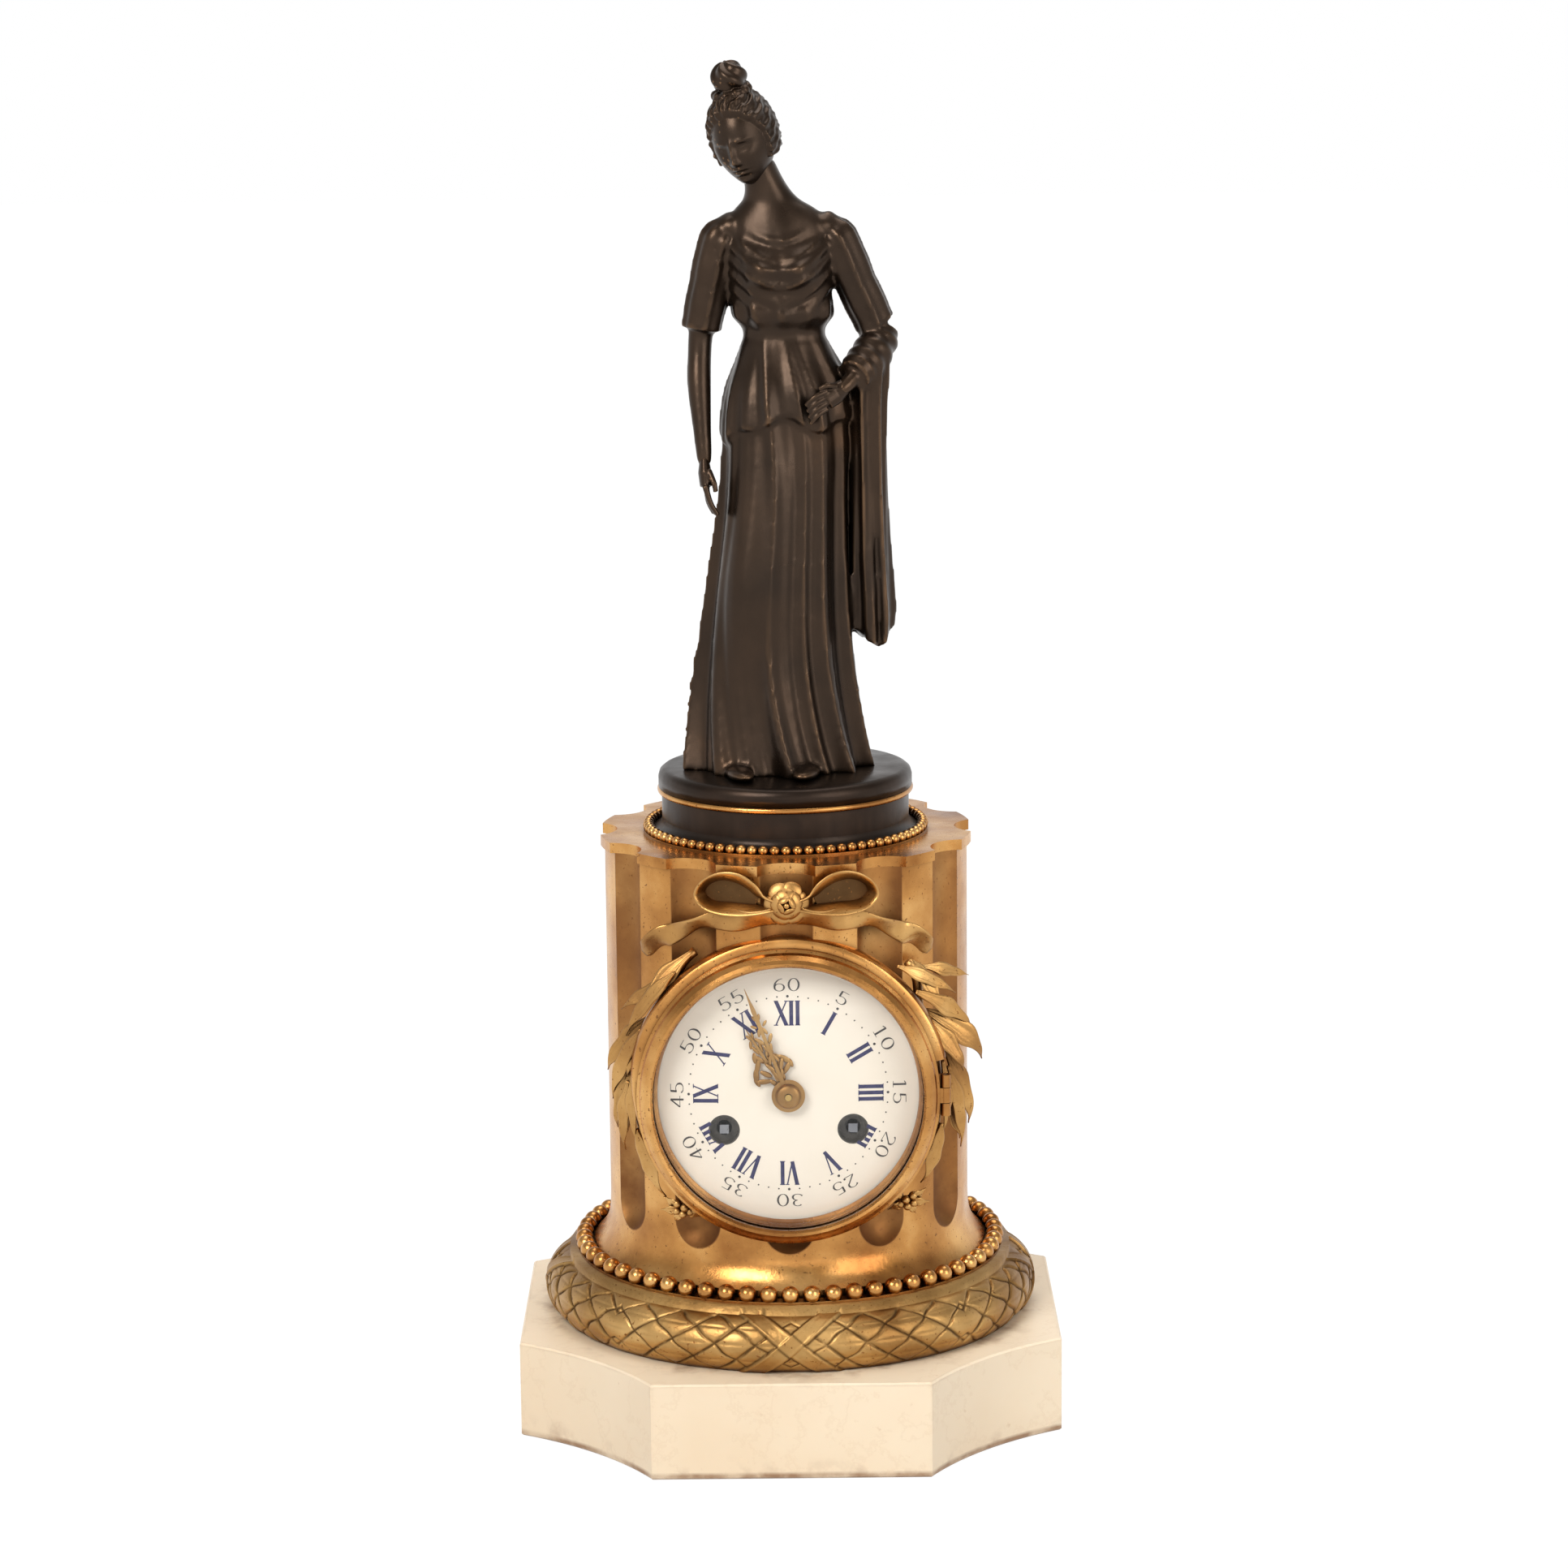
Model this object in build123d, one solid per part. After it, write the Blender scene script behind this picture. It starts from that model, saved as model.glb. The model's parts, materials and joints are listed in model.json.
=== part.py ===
from build123d import *
import math
import os

# Figural clock, millimetres, +Z up, front towards -Y, origin under the plinth centre.

# Clearances shared by the fits
fit_gap = 0.15
run_gap = 0.05
mesh_gap = 0.3
cut_over = 2.0

# Marble plinth: square with four scooped corners
plinth_width = 182.0
plinth_height = 32.5
plinth_facet = 92.0
plinth_scoop = 4.5
plinth_edge = 0.6

# Base bolts, from the plinth underside into the column foot
bolt_count = 3
bolt_circle = 60.5
bolt_radius = 2.0
bolt_head_radius = 4.2
bolt_head_height = 3.2
bolt_pocket_depth = 8.0
bolt_grip = 6.5

# Torus base
torus_radius = 83.5
torus_foot_radius = 79.0
torus_neck_radius = 75.6
torus_bore = 46.0
torus_bulge_height = 18.2
torus_height = 21.0
torus_swell_share = 0.46

# Bead rings
lower_bead_count = 62
lower_bead_radius = 2.75
lower_bead_circle = 70.6
upper_bead_count = 73
upper_bead_radius = 1.65
upper_bead_circle = 46.4
bead_band_share = 0.6
bead_sink_share = 0.92

# Fluted column
column_radius = 61.5
column_bore = 54.0
column_height = 142.0
column_foot_radius = 67.0
column_lip_height = 3.0
column_flare_height = 12.0
column_web = 6.0
column_web_bore = 24.0
flute_count = 12
flute_width = 17.0
flute_depth = 4.5
flute_end_height = 14.5

# Top plate and its screws
plate_overhang = 1.5
plate_thickness = 3.5
screw_count = 4
screw_circle = 31.0
screw_radius = 1.5
screw_head_radius = 2.9
screw_head_height = 1.7
screw_length = 7.5

# Socle drum, fillet ring and figure terrace
socle_radius = 41.7
socle_foot_radius = 44.2
socle_foot_height = 1.2
socle_flare_height = 3.4
socle_height = 13.0
socle_bore = 36.0
socle_top_thickness = 3.0
fillet_radius = 43.2
fillet_height = 2.2
fillet_bore = 24.0
terrace_radius = 42.8
terrace_height = 6.2
terrace_round = 2.4

# Clamp rod, washer and nut under the figure
rod_radius = 3.0
rod_drop = 22.0
rod_rise = 4.5
washer_radius = 29.0
washer_thickness = 2.5
nut_flats = 10.0
nut_height = 5.0

# Figure: a draped standing woman; every place and size is a share of its height
figure_height = 236.5
body_shares = (
    (0.0, -0.012, 0.010, 0.150, 0.122, 0.050),
    (0.10, -0.004, 0.006, 0.130, 0.106, 0.045),
    (0.27, 0.006, -0.004, 0.112, 0.092, 0.035),
    (0.42, -0.006, 0.0, 0.110, 0.086, 0.025),
    (0.52, -0.014, 0.002, 0.112, 0.082, 0.015),
    (0.605, -0.008, 0.002, 0.080, 0.064, 0.010),
    (0.70, 0.0, -0.004, 0.090, 0.072, 0.006),
    (0.765, 0.002, 0.004, 0.084, 0.052, 0.003),
    (0.805, -0.004, 0.0, 0.034, 0.034, 0.002),
)
fold_count = 14
head_spot_shares = (-0.050, -0.040, 0.885)
head_size_shares = (0.050, 0.058, 0.070)
knot_spot_shares = (-0.038, 0.012, 0.962)
knot_size_share = 0.038
neck_shares = ((-0.004, 0.006, 0.770, 0.034), (-0.030, -0.016, 0.830, 0.028), (-0.050, -0.034, 0.880, 0.026))
resting_arm_shares = (
    (-0.070, 0.006, 0.790, 0.020),
    (-0.096, 0.006, 0.755, 0.030),
    (-0.126, 0.022, 0.610, 0.022),
    (-0.116, -0.062, 0.455, 0.015),
    (-0.112, -0.072, 0.415, 0.010),
)
bent_arm_shares = (
    (0.070, 0.006, 0.788, 0.020),
    (0.096, 0.008, 0.752, 0.030),
    (0.146, 0.026, 0.605, 0.024),
    (0.098, -0.066, 0.560, 0.016),
    (0.060, -0.078, 0.545, 0.012),
)
foot_shares = ((0.050, -0.080, 0.022, 0.020), (0.062, -0.135, 0.014, 0.013))
figure_wall = 4.0
hollow_top_share = 0.72
limb_sides = 12
egg_rings = 9

# Dial and drum places; depths are measured forward from the column axis
dial_rise = 68.5
drum_inner = 45.0
drum_wall = 2.0
drum_rear_end = 36.0
drum_reach = 63.0
flange_overhang = 1.6
flange_thickness = 2.5
ledge_inner = 42.5
ledge_thickness = 2.0
ledge_set_back = 7.0

# Bezel, glass and retaining ring
bezel_radius = 49.8
bezel_sight = 44.5
bezel_lip = 1.4
bezel_width_shares = (1.0, 0.83, 0.74, 0.50, 0.30, 0.13)
bezel_rise_shares = (0.25, 0.37, 0.62, 0.86, 1.0, 0.95)
bezel_depth = 6.4
bezel_rabbet = 3.8
glass_thickness = 1.5
glass_rise = 5.2
retainer_width = 1.5
retainer_depth = 1.3

# Hinges of the bezel and of the rear door
hinge_radius = 1.7
hinge_pin_radius = 0.8
hinge_out = 1.8
hinge_leaf = 5.0
hinge_side_leaf = 4.2
hinge_gap = 0.2
hinge_web = 1.5
hinge_root = 3.4

# Dial and its brass back plate
dial_radius = 44.3
dial_dome = 1.8
dial_thickness = 1.2
dial_center_hole = 3.3
winding_hole = 4.75
dial_plate_thickness = 1.2
dial_plate_hole = 5.2
foot_count = 3
foot_radius = 1.5
foot_circle = 33.5
foot_first_angle = 90.0

# Rear drum and door
rear_reach = 62.0
rear_flange_inner = 34.0
rear_flange_set_back = 8.0
rear_flange_thickness = 2.5
door_thickness = 1.4
door_rim_width = 3.0
door_rim_height = 1.1
knob_radius = 2.4
knob_stem_radius = 1.2
knob_stem = 2.2
knob_circle = 40.0

# Movement plates and pillars
movement_radius = 41.0
front_plate_face = 46.0
back_plate_face = 8.0
movement_plate = 2.0
pillar_circle = 37.5
pillar_angle = 60.0
pillar_radius = 2.2
pillar_end_radius = 1.4
pillar_nut_radius = 2.6
pillar_nut_height = 1.4

# Straps that pull the movement to the rear drum
strap_thickness = 2.0
strap_width = 8.0
strap_tab = 7.5
strap_tab_thickness = 1.5
strap_screw_radius = 1.2
strap_screw_head = 2.2
strap_screw_head_height = 1.2
strap_screw_bite = 1.2

# Wheels and arbors
wheel_thickness = 1.2
pinion_length = 2.2
arbor_radius = 1.2
slim_arbor_radius = 0.62
pivot_radius = 0.45
shoulder_gap = 0.4
first_plane = 21.3
plane_step = 3.0
crossing_count = 5
crossing_spot_share = 0.56
crossing_size_share = 0.23
crossing_least_radius = 6.0
wheel_tooth_shares = ((-1.35, 0.27), (0.45, 0.15), (0.95, 0.05))
pinion_tooth_shares = ((-1.45, 0.20), (0.25, 0.15), (0.60, 0.04))

# Barrels, mainsprings and winding arbors
winding_circle = 24.5
winding_angle = 30.0
great_teeth = 80
great_module = 0.40
great_thickness = 1.8
barrel_front = 40.0
barrel_back = 24.0
barrel_radius = 14.5
barrel_wall = 1.2
barrel_cover = 1.2
core_radius = 4.2
core_gap = 0.5
spring_thickness = 0.35
spring_turns = 6
spring_gap = 0.3
winding_radius = 2.4
square_width = 3.0
square_end = 58.6
ratchet_teeth = 24
ratchet_radius = 7.0
ratchet_root = 6.0
ratchet_thickness = 2.0
ratchet_lift = 1.0

# Clicks that hold the ratchets
click_distance = 11.5
click_angle = 58.0
click_nose_angle = 18.0
click_hub = 1.9
click_nose = 0.5
click_gap = 0.12
click_thickness = 1.6
click_stud_radius = 0.9

# Going train
second_pinion_teeth = 14
second_wheel_teeth = 77
second_module = 0.38
center_pinion_teeth = 11
center_wheel_teeth = 84
center_module = 0.32
third_pinion_teeth = 8
third_wheel_teeth = 88
third_module = 0.28
escape_pinion_teeth = 8
escape_rise = 18.0
escape_teeth = 48
escape_radius = 9.5
escape_depth = 1.5
center_front_end = 65.4
center_post_radius = 1.1

# Anchor, crutch and back cock
anchor_rise = 30.0
anchor_hub = 2.0
anchor_arm = 1.6
anchor_clear = 1.0
pallet_angle = 40.0
pallet_reach = 0.8
crutch_length = 20.0
crutch_width = 2.2
crutch_thickness = 1.4
crutch_depth = 3.6
crutch_fork_gap = 0.35
crutch_fork_wall = 1.0
anchor_window = 3.2
cock_width = 28.0
cock_height = 9.0
cock_thickness = 2.0
cock_post = 2.0
cock_post_spread = 11.5
cock_depth = 0.0
lug_width = 6.0
lug_height = 4.5

# Pendulum
pendulum_depth = -4.0
suspension_length = 8.0
suspension_width = 3.0
suspension_thickness = 0.2
chop_width = 3.0
chop_height = 4.0
chop_depth = 4.2
pendulum_rod_radius = 1.0
bob_drop = 100.0
bob_radius = 10.5
bob_thickness = 7.0
bob_rim = 1.6
bob_arc_share = 0.55
bob_fall_share = 0.32
rating_nut_radius = 3.2
rating_nut_height = 3.6
rating_nut_gap = 0.3
rod_tail = 5.2

# Striking train
strike_second_angle = 80.0
strike_second_teeth = 64
strike_module = 0.32
pin_pinion_teeth = 10
pin_angle = 85.0
pin_wheel_teeth = 60
fly_module = 0.30
fly_pinion_teeth = 8
fly_angle = 190.0
fly_reach = 6.0
fly_height = 5.0
fly_thickness = 0.8
pin_count = 8
pin_circle_share = 0.74
pin_radius = 0.45
pin_length = 1.2
count_wheel_radius = 13.0
count_wheel_thickness = 1.4
count_wheel_gap = 1.6
count_notches = 12
count_notch_width = 1.5
count_notch_depth = 1.8

# Hammer, bell and bell stand
hammer_spot = (-37.0, 8.0)
hammer_angle = 130.0
hammer_head_radius = 3.4
hammer_head_length = 4.2
hammer_gap = 0.9
hammer_arm_width = 2.2
hammer_arm_thickness = 1.6
hammer_depth = -14.0
hammer_tail_gap = 2.7
hammer_tail_width = 1.8
bell_radius = 31.0
bell_depth = 18.0
bell_wall = 1.3
bell_rim_depth = -12.0
bell_crown_share = 0.55
bell_bulge_share = 0.86
bell_middle_share = 0.5
stand_spot = (25.0, -15.0)
stand_radius = 1.8
stand_foot_radius = 3.4
stand_foot_height = 2.0
stand_arm_width = 4.6
stand_arm_thickness = 2.2
stand_arm_gap = 1.4
stand_stem_radius = 1.5
stand_collar_radius = 2.52
stand_nut_radius = 3.2
stand_nut_height = 2.6

# Motion work
cannon_teeth = 12
minute_wheel_teeth = 36
motion_module = 0.5
minute_pinion_teeth = 10
hour_wheel_teeth = 40
motion_lift = 1.0
motion_step = 3.0
cannon_pipe = 1.8
hour_pipe = 2.5
minute_stud_radius = 0.9

# Hands
minute_hand_length = 37.5
hour_hand_length = 25.0
hand_thickness = 0.7
hand_step = 0.9
hand_lift = 0.9
minute_set = 21.2
hour_set = 31.8
minute_hub = 3.4
hour_hub = 4.4
collet_radius = 4.6
collet_height = 1.6
minute_along_shares = (0.04, 0.16, 0.24, 0.32, 0.44, 0.56, 0.66, 0.86)
minute_half_shares = (0.022, 0.020, 0.062, 0.070, 0.026, 0.052, 0.022, 0.014)
hour_along_shares = (0.10, 0.26, 0.36, 0.50, 0.64, 0.74, 0.82, 0.90)
hour_half_shares = (0.050, 0.075, 0.180, 0.230, 0.110, 0.060, 0.080, 0.036)
minute_eye_shares = ((0.28, 0.030), (0.55, 0.026))
hour_eye_shares = ((0.42, 0.060), (0.55, 0.060))
eye_spread_share = 0.5
eye_radius_share = 0.36
collet_shoulder_share = 0.8
collet_shoulder_rise_share = 0.6
collet_crown_share = 0.4

# Ribbon bow and rosette on the column front
bow_rise = 61.0
bow_lean = 15.0
bow_wall = 1.7
bow_relief = 4.6
loop_half_width = 12.5
loop_half_height = 6.2
tail_relief = 1.5
tail_width = 4.2
tail_length = 24.0
tail_shares = ((-0.42, 0.08), (0.30, 0.30), (0.95, 0.34))
rosette_radius = 7.2
rosette_petals = 8
petal_radius = 2.7
rosette_core = 3.0
bow_peg_radius = 1.6
bow_peg_length = 13.0

# Laurel branches at the sides of the drum
laurel_stem_radius = 1.8
laurel_depth = 55.0
laurel_top_angle = 47.0
laurel_foot_angle = -50.0
leaf_rows = 9
leaf_length = 17.0
leaf_width = 6.4
leaf_thickness = 1.1
leaf_out_share = 0.72
leaf_along_share = 0.62
leaf_lift_share = 0.26
leaf_belly_share = 0.45
berry_radius = 2.1
berry_gap_share = 1.5
berry_angles = (-20.0, 100.0, 220.0)

# Levels that follow from the sizes above
torus_level = plinth_height
column_level = torus_level + torus_height
plate_level = column_level + column_height
socle_level = plate_level + plate_thickness
fillet_level = socle_level + socle_height
terrace_level = fillet_level + fillet_height
figure_level = terrace_level + terrace_height
dial_level = column_level + dial_rise
drum_radius = drum_inner + drum_wall
flange_radius = drum_radius + flange_overhang
plate_radius = column_radius + plate_overhang
ledge_front = drum_reach - ledge_set_back
dial_back = ledge_front + dial_plate_thickness
dial_front_center = dial_back + dial_thickness + dial_dome
front_plate_back = front_plate_face - movement_plate
back_plate_front = back_plate_face + movement_plate
great_back = barrel_front - great_thickness
on_floor = (Align.CENTER, Align.CENTER, Align.MIN)
movement_frame = Plane(origin=(0, 0, dial_level), x_dir=(1, 0, 0), z_dir=(0, -1, 0))


def polar(radius, degrees):
    turn = math.radians(degrees)
    return (radius * math.cos(turn), radius * math.sin(turn))


def shifted(spot, radius, degrees):
    along = polar(radius, degrees)
    return (spot[0] + along[0], spot[1] + along[1])


def bearing(start, end):
    return math.degrees(math.atan2(end[1] - start[1], end[0] - start[0]))


def meeting(start, start_reach, end, end_reach, side):
    # Point at two given distances from two spots, on the chosen side of the line between them
    span = math.dist(start, end)
    along = (start_reach ** 2 - end_reach ** 2 + span ** 2) / (2 * span)
    across = math.sqrt(start_reach ** 2 - along ** 2)
    turn = bearing(start, end)
    return shifted(shifted(start, along, turn), across, turn + side * 90)


def disc(radius, low, high):
    return Pos(0, 0, low) * Cylinder(radius, high - low, align=on_floor)


def spot_disc(spot, radius, low, high):
    return Pos(spot[0], spot[1], 0) * disc(radius, low, high)


def slab(low, high):
    # Box between two corners
    size = [high[i] - low[i] for i in range(3)]
    return Pos(low[0], low[1], low[2]) * Box(*size, align=(Align.MIN, Align.MIN, Align.MIN))


def turned(profile):
    # Solid of revolution about Z from (radius, height) corners
    return revolve(Plane.XZ * make_face(Polyline(*profile, close=True)), Axis.Z)


def turned_edges(edges):
    return revolve(Plane.XZ * make_face(edges), Axis.Z)


def around(shape, count):
    return [Rot(0, 0, 360 * i / count) * shape for i in range(count)]


def in_movement(shape):
    return movement_frame * shape


def save(node, shape):
    export_step(shape, os.path.join("parts", node + ".step"))


def bolt_spots():
    return [polar(bolt_circle, 90 + 360 * i / bolt_count) for i in range(bolt_count)]


def plinth():
    half = plinth_width / 2
    flat = plinth_facet / 2
    scoop_mid = (half + flat) / 2 - plinth_scoop / math.sqrt(2)
    edges = []
    for turn in range(4):
        scoop = ThreePointArc((flat, -half), (scoop_mid, -scoop_mid), (half, -flat))
        side = Line((half, -flat), (half, flat))
        edges += [Rot(0, 0, 90 * turn) * scoop, Rot(0, 0, 90 * turn) * side]
    body = extrude(make_face(edges), plinth_height)
    rims = body.faces().sort_by(Axis.Z)
    body = chamfer(rims[0].edges() + rims[-1].edges(), plinth_edge)
    for spot in bolt_spots():
        body -= spot_disc(spot, bolt_radius + fit_gap, -cut_over, plinth_height + cut_over)
        body -= spot_disc(spot, bolt_head_radius * 2, -cut_over, bolt_pocket_depth)
    return body


def base_bolts():
    bolts = []
    for spot in bolt_spots():
        head = spot_disc(spot, bolt_head_radius, bolt_pocket_depth - bolt_head_height, bolt_pocket_depth)
        shank = spot_disc(spot, bolt_radius, bolt_pocket_depth - bolt_head_height, column_level + bolt_grip)
        bolts.append(head + shank)
    return Compound(children=bolts)


def torus_base():
    foot = (torus_foot_radius, torus_level)
    swell = (torus_radius, torus_level + torus_bulge_height * torus_swell_share)
    neck = (torus_neck_radius, torus_level + torus_bulge_height)
    rim = (torus_neck_radius, column_level)
    edges = [
        ThreePointArc(foot, swell, neck),
        Line(neck, rim),
        Line(rim, (torus_bore, column_level)),
        Line((torus_bore, column_level), (torus_bore, torus_level)),
        Line((torus_bore, torus_level), foot),
    ]
    body = turned_edges(edges)
    for spot in bolt_spots():
        body -= spot_disc(spot, bolt_radius + fit_gap, torus_level - cut_over, column_level + cut_over)
    return body


def bead_ring(count, bead_radius, circle, bore, level):
    # One strip: a flat band with half sunk beads standing on it
    band_half = bead_radius * bead_band_share
    band = turned([
        (bore, level),
        (circle + band_half, level),
        (circle + band_half, level + band_half),
        (bore, level + band_half),
    ])
    lift = level + bead_radius * bead_sink_share
    bead = Pos(circle, 0, lift) * Sphere(bead_radius)
    beads = around(bead, count)
    floor = disc(circle + bead_radius * 2, level - bead_radius * 2, level)
    return band.fuse(*beads) - floor


def lower_bead_ring():
    bore = column_foot_radius + fit_gap
    return bead_ring(lower_bead_count, lower_bead_radius, lower_bead_circle, bore, column_level)


def upper_bead_ring():
    bore = socle_foot_radius + fit_gap
    return bead_ring(upper_bead_count, upper_bead_radius, upper_bead_circle, bore, socle_level)


def flute_cutters():
    # Round bottomed channels with ball shaped lower ends, open above
    half = flute_width / 2
    bottom = column_radius - flute_depth
    reach = math.sqrt(column_radius ** 2 - half ** 2) - bottom
    radius = (reach ** 2 + half ** 2) / (2 * reach)
    low = column_level + flute_end_height + half
    channel = disc(radius, low, socle_level + cut_over) + Pos(0, 0, low) * Sphere(radius)
    channel = Pos(0, -(bottom + radius), 0) * channel
    return around(channel, flute_count)


def bow_peg_hole():
    spot = (0, bow_rise)
    low = column_bore - cut_over
    return in_movement(spot_disc(spot, bow_peg_radius + fit_gap, low, column_radius + cut_over))


def column():
    flare_top = column_level + column_lip_height + column_flare_height
    lip = (column_foot_radius, column_level + column_lip_height)
    web_low = plate_level - column_web
    edges = [
        Line((column_bore, column_level), (column_foot_radius, column_level)),
        Line((column_foot_radius, column_level), lip),
        TangentArc((column_radius, flare_top), lip, tangent=(0, -1)),
        Line((column_radius, flare_top), (column_radius, plate_level)),
        Line((column_radius, plate_level), (column_web_bore, plate_level)),
        Line((column_web_bore, plate_level), (column_web_bore, web_low)),
        Line((column_web_bore, web_low), (column_bore, web_low)),
        Line((column_bore, web_low), (column_bore, column_level)),
    ]
    body = turned_edges(edges).cut(*flute_cutters())
    through = disc(drum_radius + fit_gap, -column_foot_radius, column_foot_radius)
    front_seat = disc(flange_radius + mesh_gap, drum_reach - flange_thickness - mesh_gap, column_foot_radius)
    rear_low = -rear_reach + flange_thickness + mesh_gap
    rear_seat = disc(flange_radius + mesh_gap, -column_foot_radius, rear_low)
    body = body.cut(in_movement(through), in_movement(front_seat), in_movement(rear_seat), bow_peg_hole())
    for spot in bolt_spots():
        bolt_top = column_level + bolt_grip + mesh_gap
        body -= spot_disc(spot, bolt_radius + run_gap, column_level - cut_over, bolt_top)
    for spot in screw_spots():
        body -= spot_disc(spot, screw_radius + run_gap, web_low - cut_over, plate_level + cut_over)
    return body


def screw_spots():
    return [polar(screw_circle, 45 + 360 * i / screw_count) for i in range(screw_count)]


def top_plate():
    body = disc(plate_radius, plate_level, socle_level).cut(*flute_cutters())
    body -= disc(rod_radius + fit_gap, plate_level - cut_over, socle_level + cut_over)
    for spot in screw_spots():
        body -= spot_disc(spot, screw_radius + fit_gap, plate_level - cut_over, socle_level + cut_over)
        seat = socle_level - screw_head_height
        body -= spot_disc(spot, screw_head_radius + fit_gap, seat, socle_level + cut_over)
    return body


def top_plate_screws():
    screws = []
    for spot in screw_spots():
        head = spot_disc(spot, screw_head_radius, socle_level - screw_head_height, socle_level)
        shank = spot_disc(spot, screw_radius, socle_level - screw_length, socle_level)
        screws.append(head + shank)
    return Compound(children=screws)


def socle():
    foot_top = socle_level + socle_foot_height
    flare_top = foot_top + socle_flare_height
    web_low = fillet_level - socle_top_thickness
    bore = rod_radius + fit_gap
    edges = [
        Line((socle_bore, socle_level), (socle_foot_radius, socle_level)),
        Line((socle_foot_radius, socle_level), (socle_foot_radius, foot_top)),
        TangentArc((socle_radius, flare_top), (socle_foot_radius, foot_top), tangent=(0, -1)),
        Line((socle_radius, flare_top), (socle_radius, fillet_level)),
        Line((socle_radius, fillet_level), (bore, fillet_level)),
        Line((bore, fillet_level), (bore, web_low)),
        Line((bore, web_low), (socle_bore, web_low)),
        Line((socle_bore, web_low), (socle_bore, socle_level)),
    ]
    return turned_edges(edges)


def socle_fillet():
    half = fillet_height / 2
    edge = fillet_radius - half
    edges = [
        Line((fillet_bore, fillet_level), (edge, fillet_level)),
        ThreePointArc((edge, fillet_level), (fillet_radius, fillet_level + half), (edge, terrace_level)),
        Line((edge, terrace_level), (fillet_bore, terrace_level)),
        Line((fillet_bore, terrace_level), (fillet_bore, fillet_level)),
    ]
    return turned_edges(edges)


def figure_point(shares):
    return Vector(shares[0], shares[1], shares[2]) * figure_height


def ring_points(center, across, along, half_width, half_depth, sides, wave):
    # Corners of an oval ring whose edge waves with the cloth folds
    points = []
    for i in range(sides):
        turn = 2 * math.pi * i / sides
        swell = 1 + wave * (-1) ** i
        side_step = across * (half_width * swell * math.cos(turn))
        points.append(center + side_step + along * (half_depth * swell * math.sin(turn)))
    return points


def flat_face(points):
    return Face(Wire.make_polygon(points, close=True))


def faceted(rings):
    # Closed solid of flat facets through a row of rings
    faces = [flat_face(rings[0]), flat_face(rings[-1])]
    for low, high in zip(rings, rings[1:]):
        for i in range(len(low)):
            j = (i + 1) % len(low)
            faces.append(flat_face([low[i], low[j], high[j]]))
            faces.append(flat_face([low[i], high[j], high[i]]))
    return Solid(Shell(faces))


def limb(rows):
    # Round limb through several points
    spots = [figure_point(row) for row in rows]
    rings = []
    for i, row in enumerate(rows):
        before = spots[max(i - 1, 0)]
        after = spots[min(i + 1, len(rows) - 1)]
        place = Plane(origin=spots[i], z_dir=after - before)
        size = row[3] * figure_height
        rings.append(ring_points(spots[i], place.x_dir, place.y_dir, size, size, limb_sides, 0))
    return faceted(rings)


def egg(spot_shares, size_shares):
    # Rounded head form from level rings
    across, along, tall = (share * figure_height for share in size_shares)
    spot = figure_point(spot_shares)
    rings = []
    for i in range(1, egg_rings):
        turn = math.pi * (i / egg_rings - 0.5)
        center = spot + Vector(0, 0, tall * math.sin(turn))
        size = math.cos(turn)
        radii = (across * size, along * size)
        rings.append(ring_points(center, Vector(1, 0, 0), Vector(0, 1, 0), *radii, limb_sides, 0))
    return faceted(rings)


def draped_body(wall, top_share):
    # Draped body up to a share of its height, or the hollow that leaves a wall inside it
    rings = []
    for level, across, along, half_width, half_depth, wave in body_shares:
        if level > top_share:
            break
        center = figure_point((across, along, level))
        wide = half_width * figure_height - wall
        deep = half_depth * figure_height - wall
        rings.append(ring_points(center, Vector(1, 0, 0), Vector(0, 1, 0), wide, deep, 2 * fold_count, wave))
    return faceted(rings)


def figure():
    knot_sizes = (knot_size_share, knot_size_share, knot_size_share)
    pieces = [
        egg(head_spot_shares, head_size_shares),
        egg(knot_spot_shares, knot_sizes),
        limb(neck_shares),
        limb(resting_arm_shares),
        limb(bent_arm_shares),
        limb(foot_shares),
    ]
    shell = draped_body(0, 1).fuse(*pieces) - draped_body(figure_wall, hollow_top_share)
    body = Part() + Pos(0, 0, figure_level) * shell
    body = body.fuse(terrace())
    return body - disc(rod_radius + run_gap, 0, figure_level + cut_over)


def terrace():
    shoulder = figure_level - terrace_round
    inner = terrace_radius - terrace_round
    half_turn = terrace_round * math.sqrt(0.5)
    rounded = (inner + half_turn, shoulder + half_turn)
    edges = [
        Line((0, terrace_level), (terrace_radius, terrace_level)),
        Line((terrace_radius, terrace_level), (terrace_radius, shoulder)),
        ThreePointArc((terrace_radius, shoulder), rounded, (inner, figure_level)),
        Line((inner, figure_level), (0, figure_level)),
        Line((0, figure_level), (0, terrace_level)),
    ]
    return turned_edges(edges)


def figure_clamp():
    web_low = plate_level - column_web
    rod = disc(rod_radius, plate_level - rod_drop, terrace_level + rod_rise)
    bore = disc(rod_radius + run_gap, plate_level - rod_drop, plate_level)
    washer_low = web_low - washer_thickness
    washer = disc(washer_radius, washer_low, web_low) - bore
    hexagon = extrude(RegularPolygon(nut_flats / 2, 6, major_radius=False), nut_height)
    nut = Pos(0, 0, washer_low - nut_height) * hexagon - bore
    return Compound(children=[rod, washer, nut])


def knuckles(spot_x, depth, leaf_depth, spans, root_x):
    # Hinge barrel pieces on the vertical pin, each with a web to its plate
    pieces = []
    for low, high in spans:
        barrel = Rot(-90, 0, 0) * disc(hinge_radius, low, high)
        pieces.append(Pos(spot_x, 0, depth) * barrel)
        first = min(depth, depth + leaf_depth)
        last = max(depth, depth + leaf_depth)
        pieces.append(slab((root_x, low, first), (spot_x, high, last)))
    return pieces


def hinge_x():
    return bezel_radius + hinge_out


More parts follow.
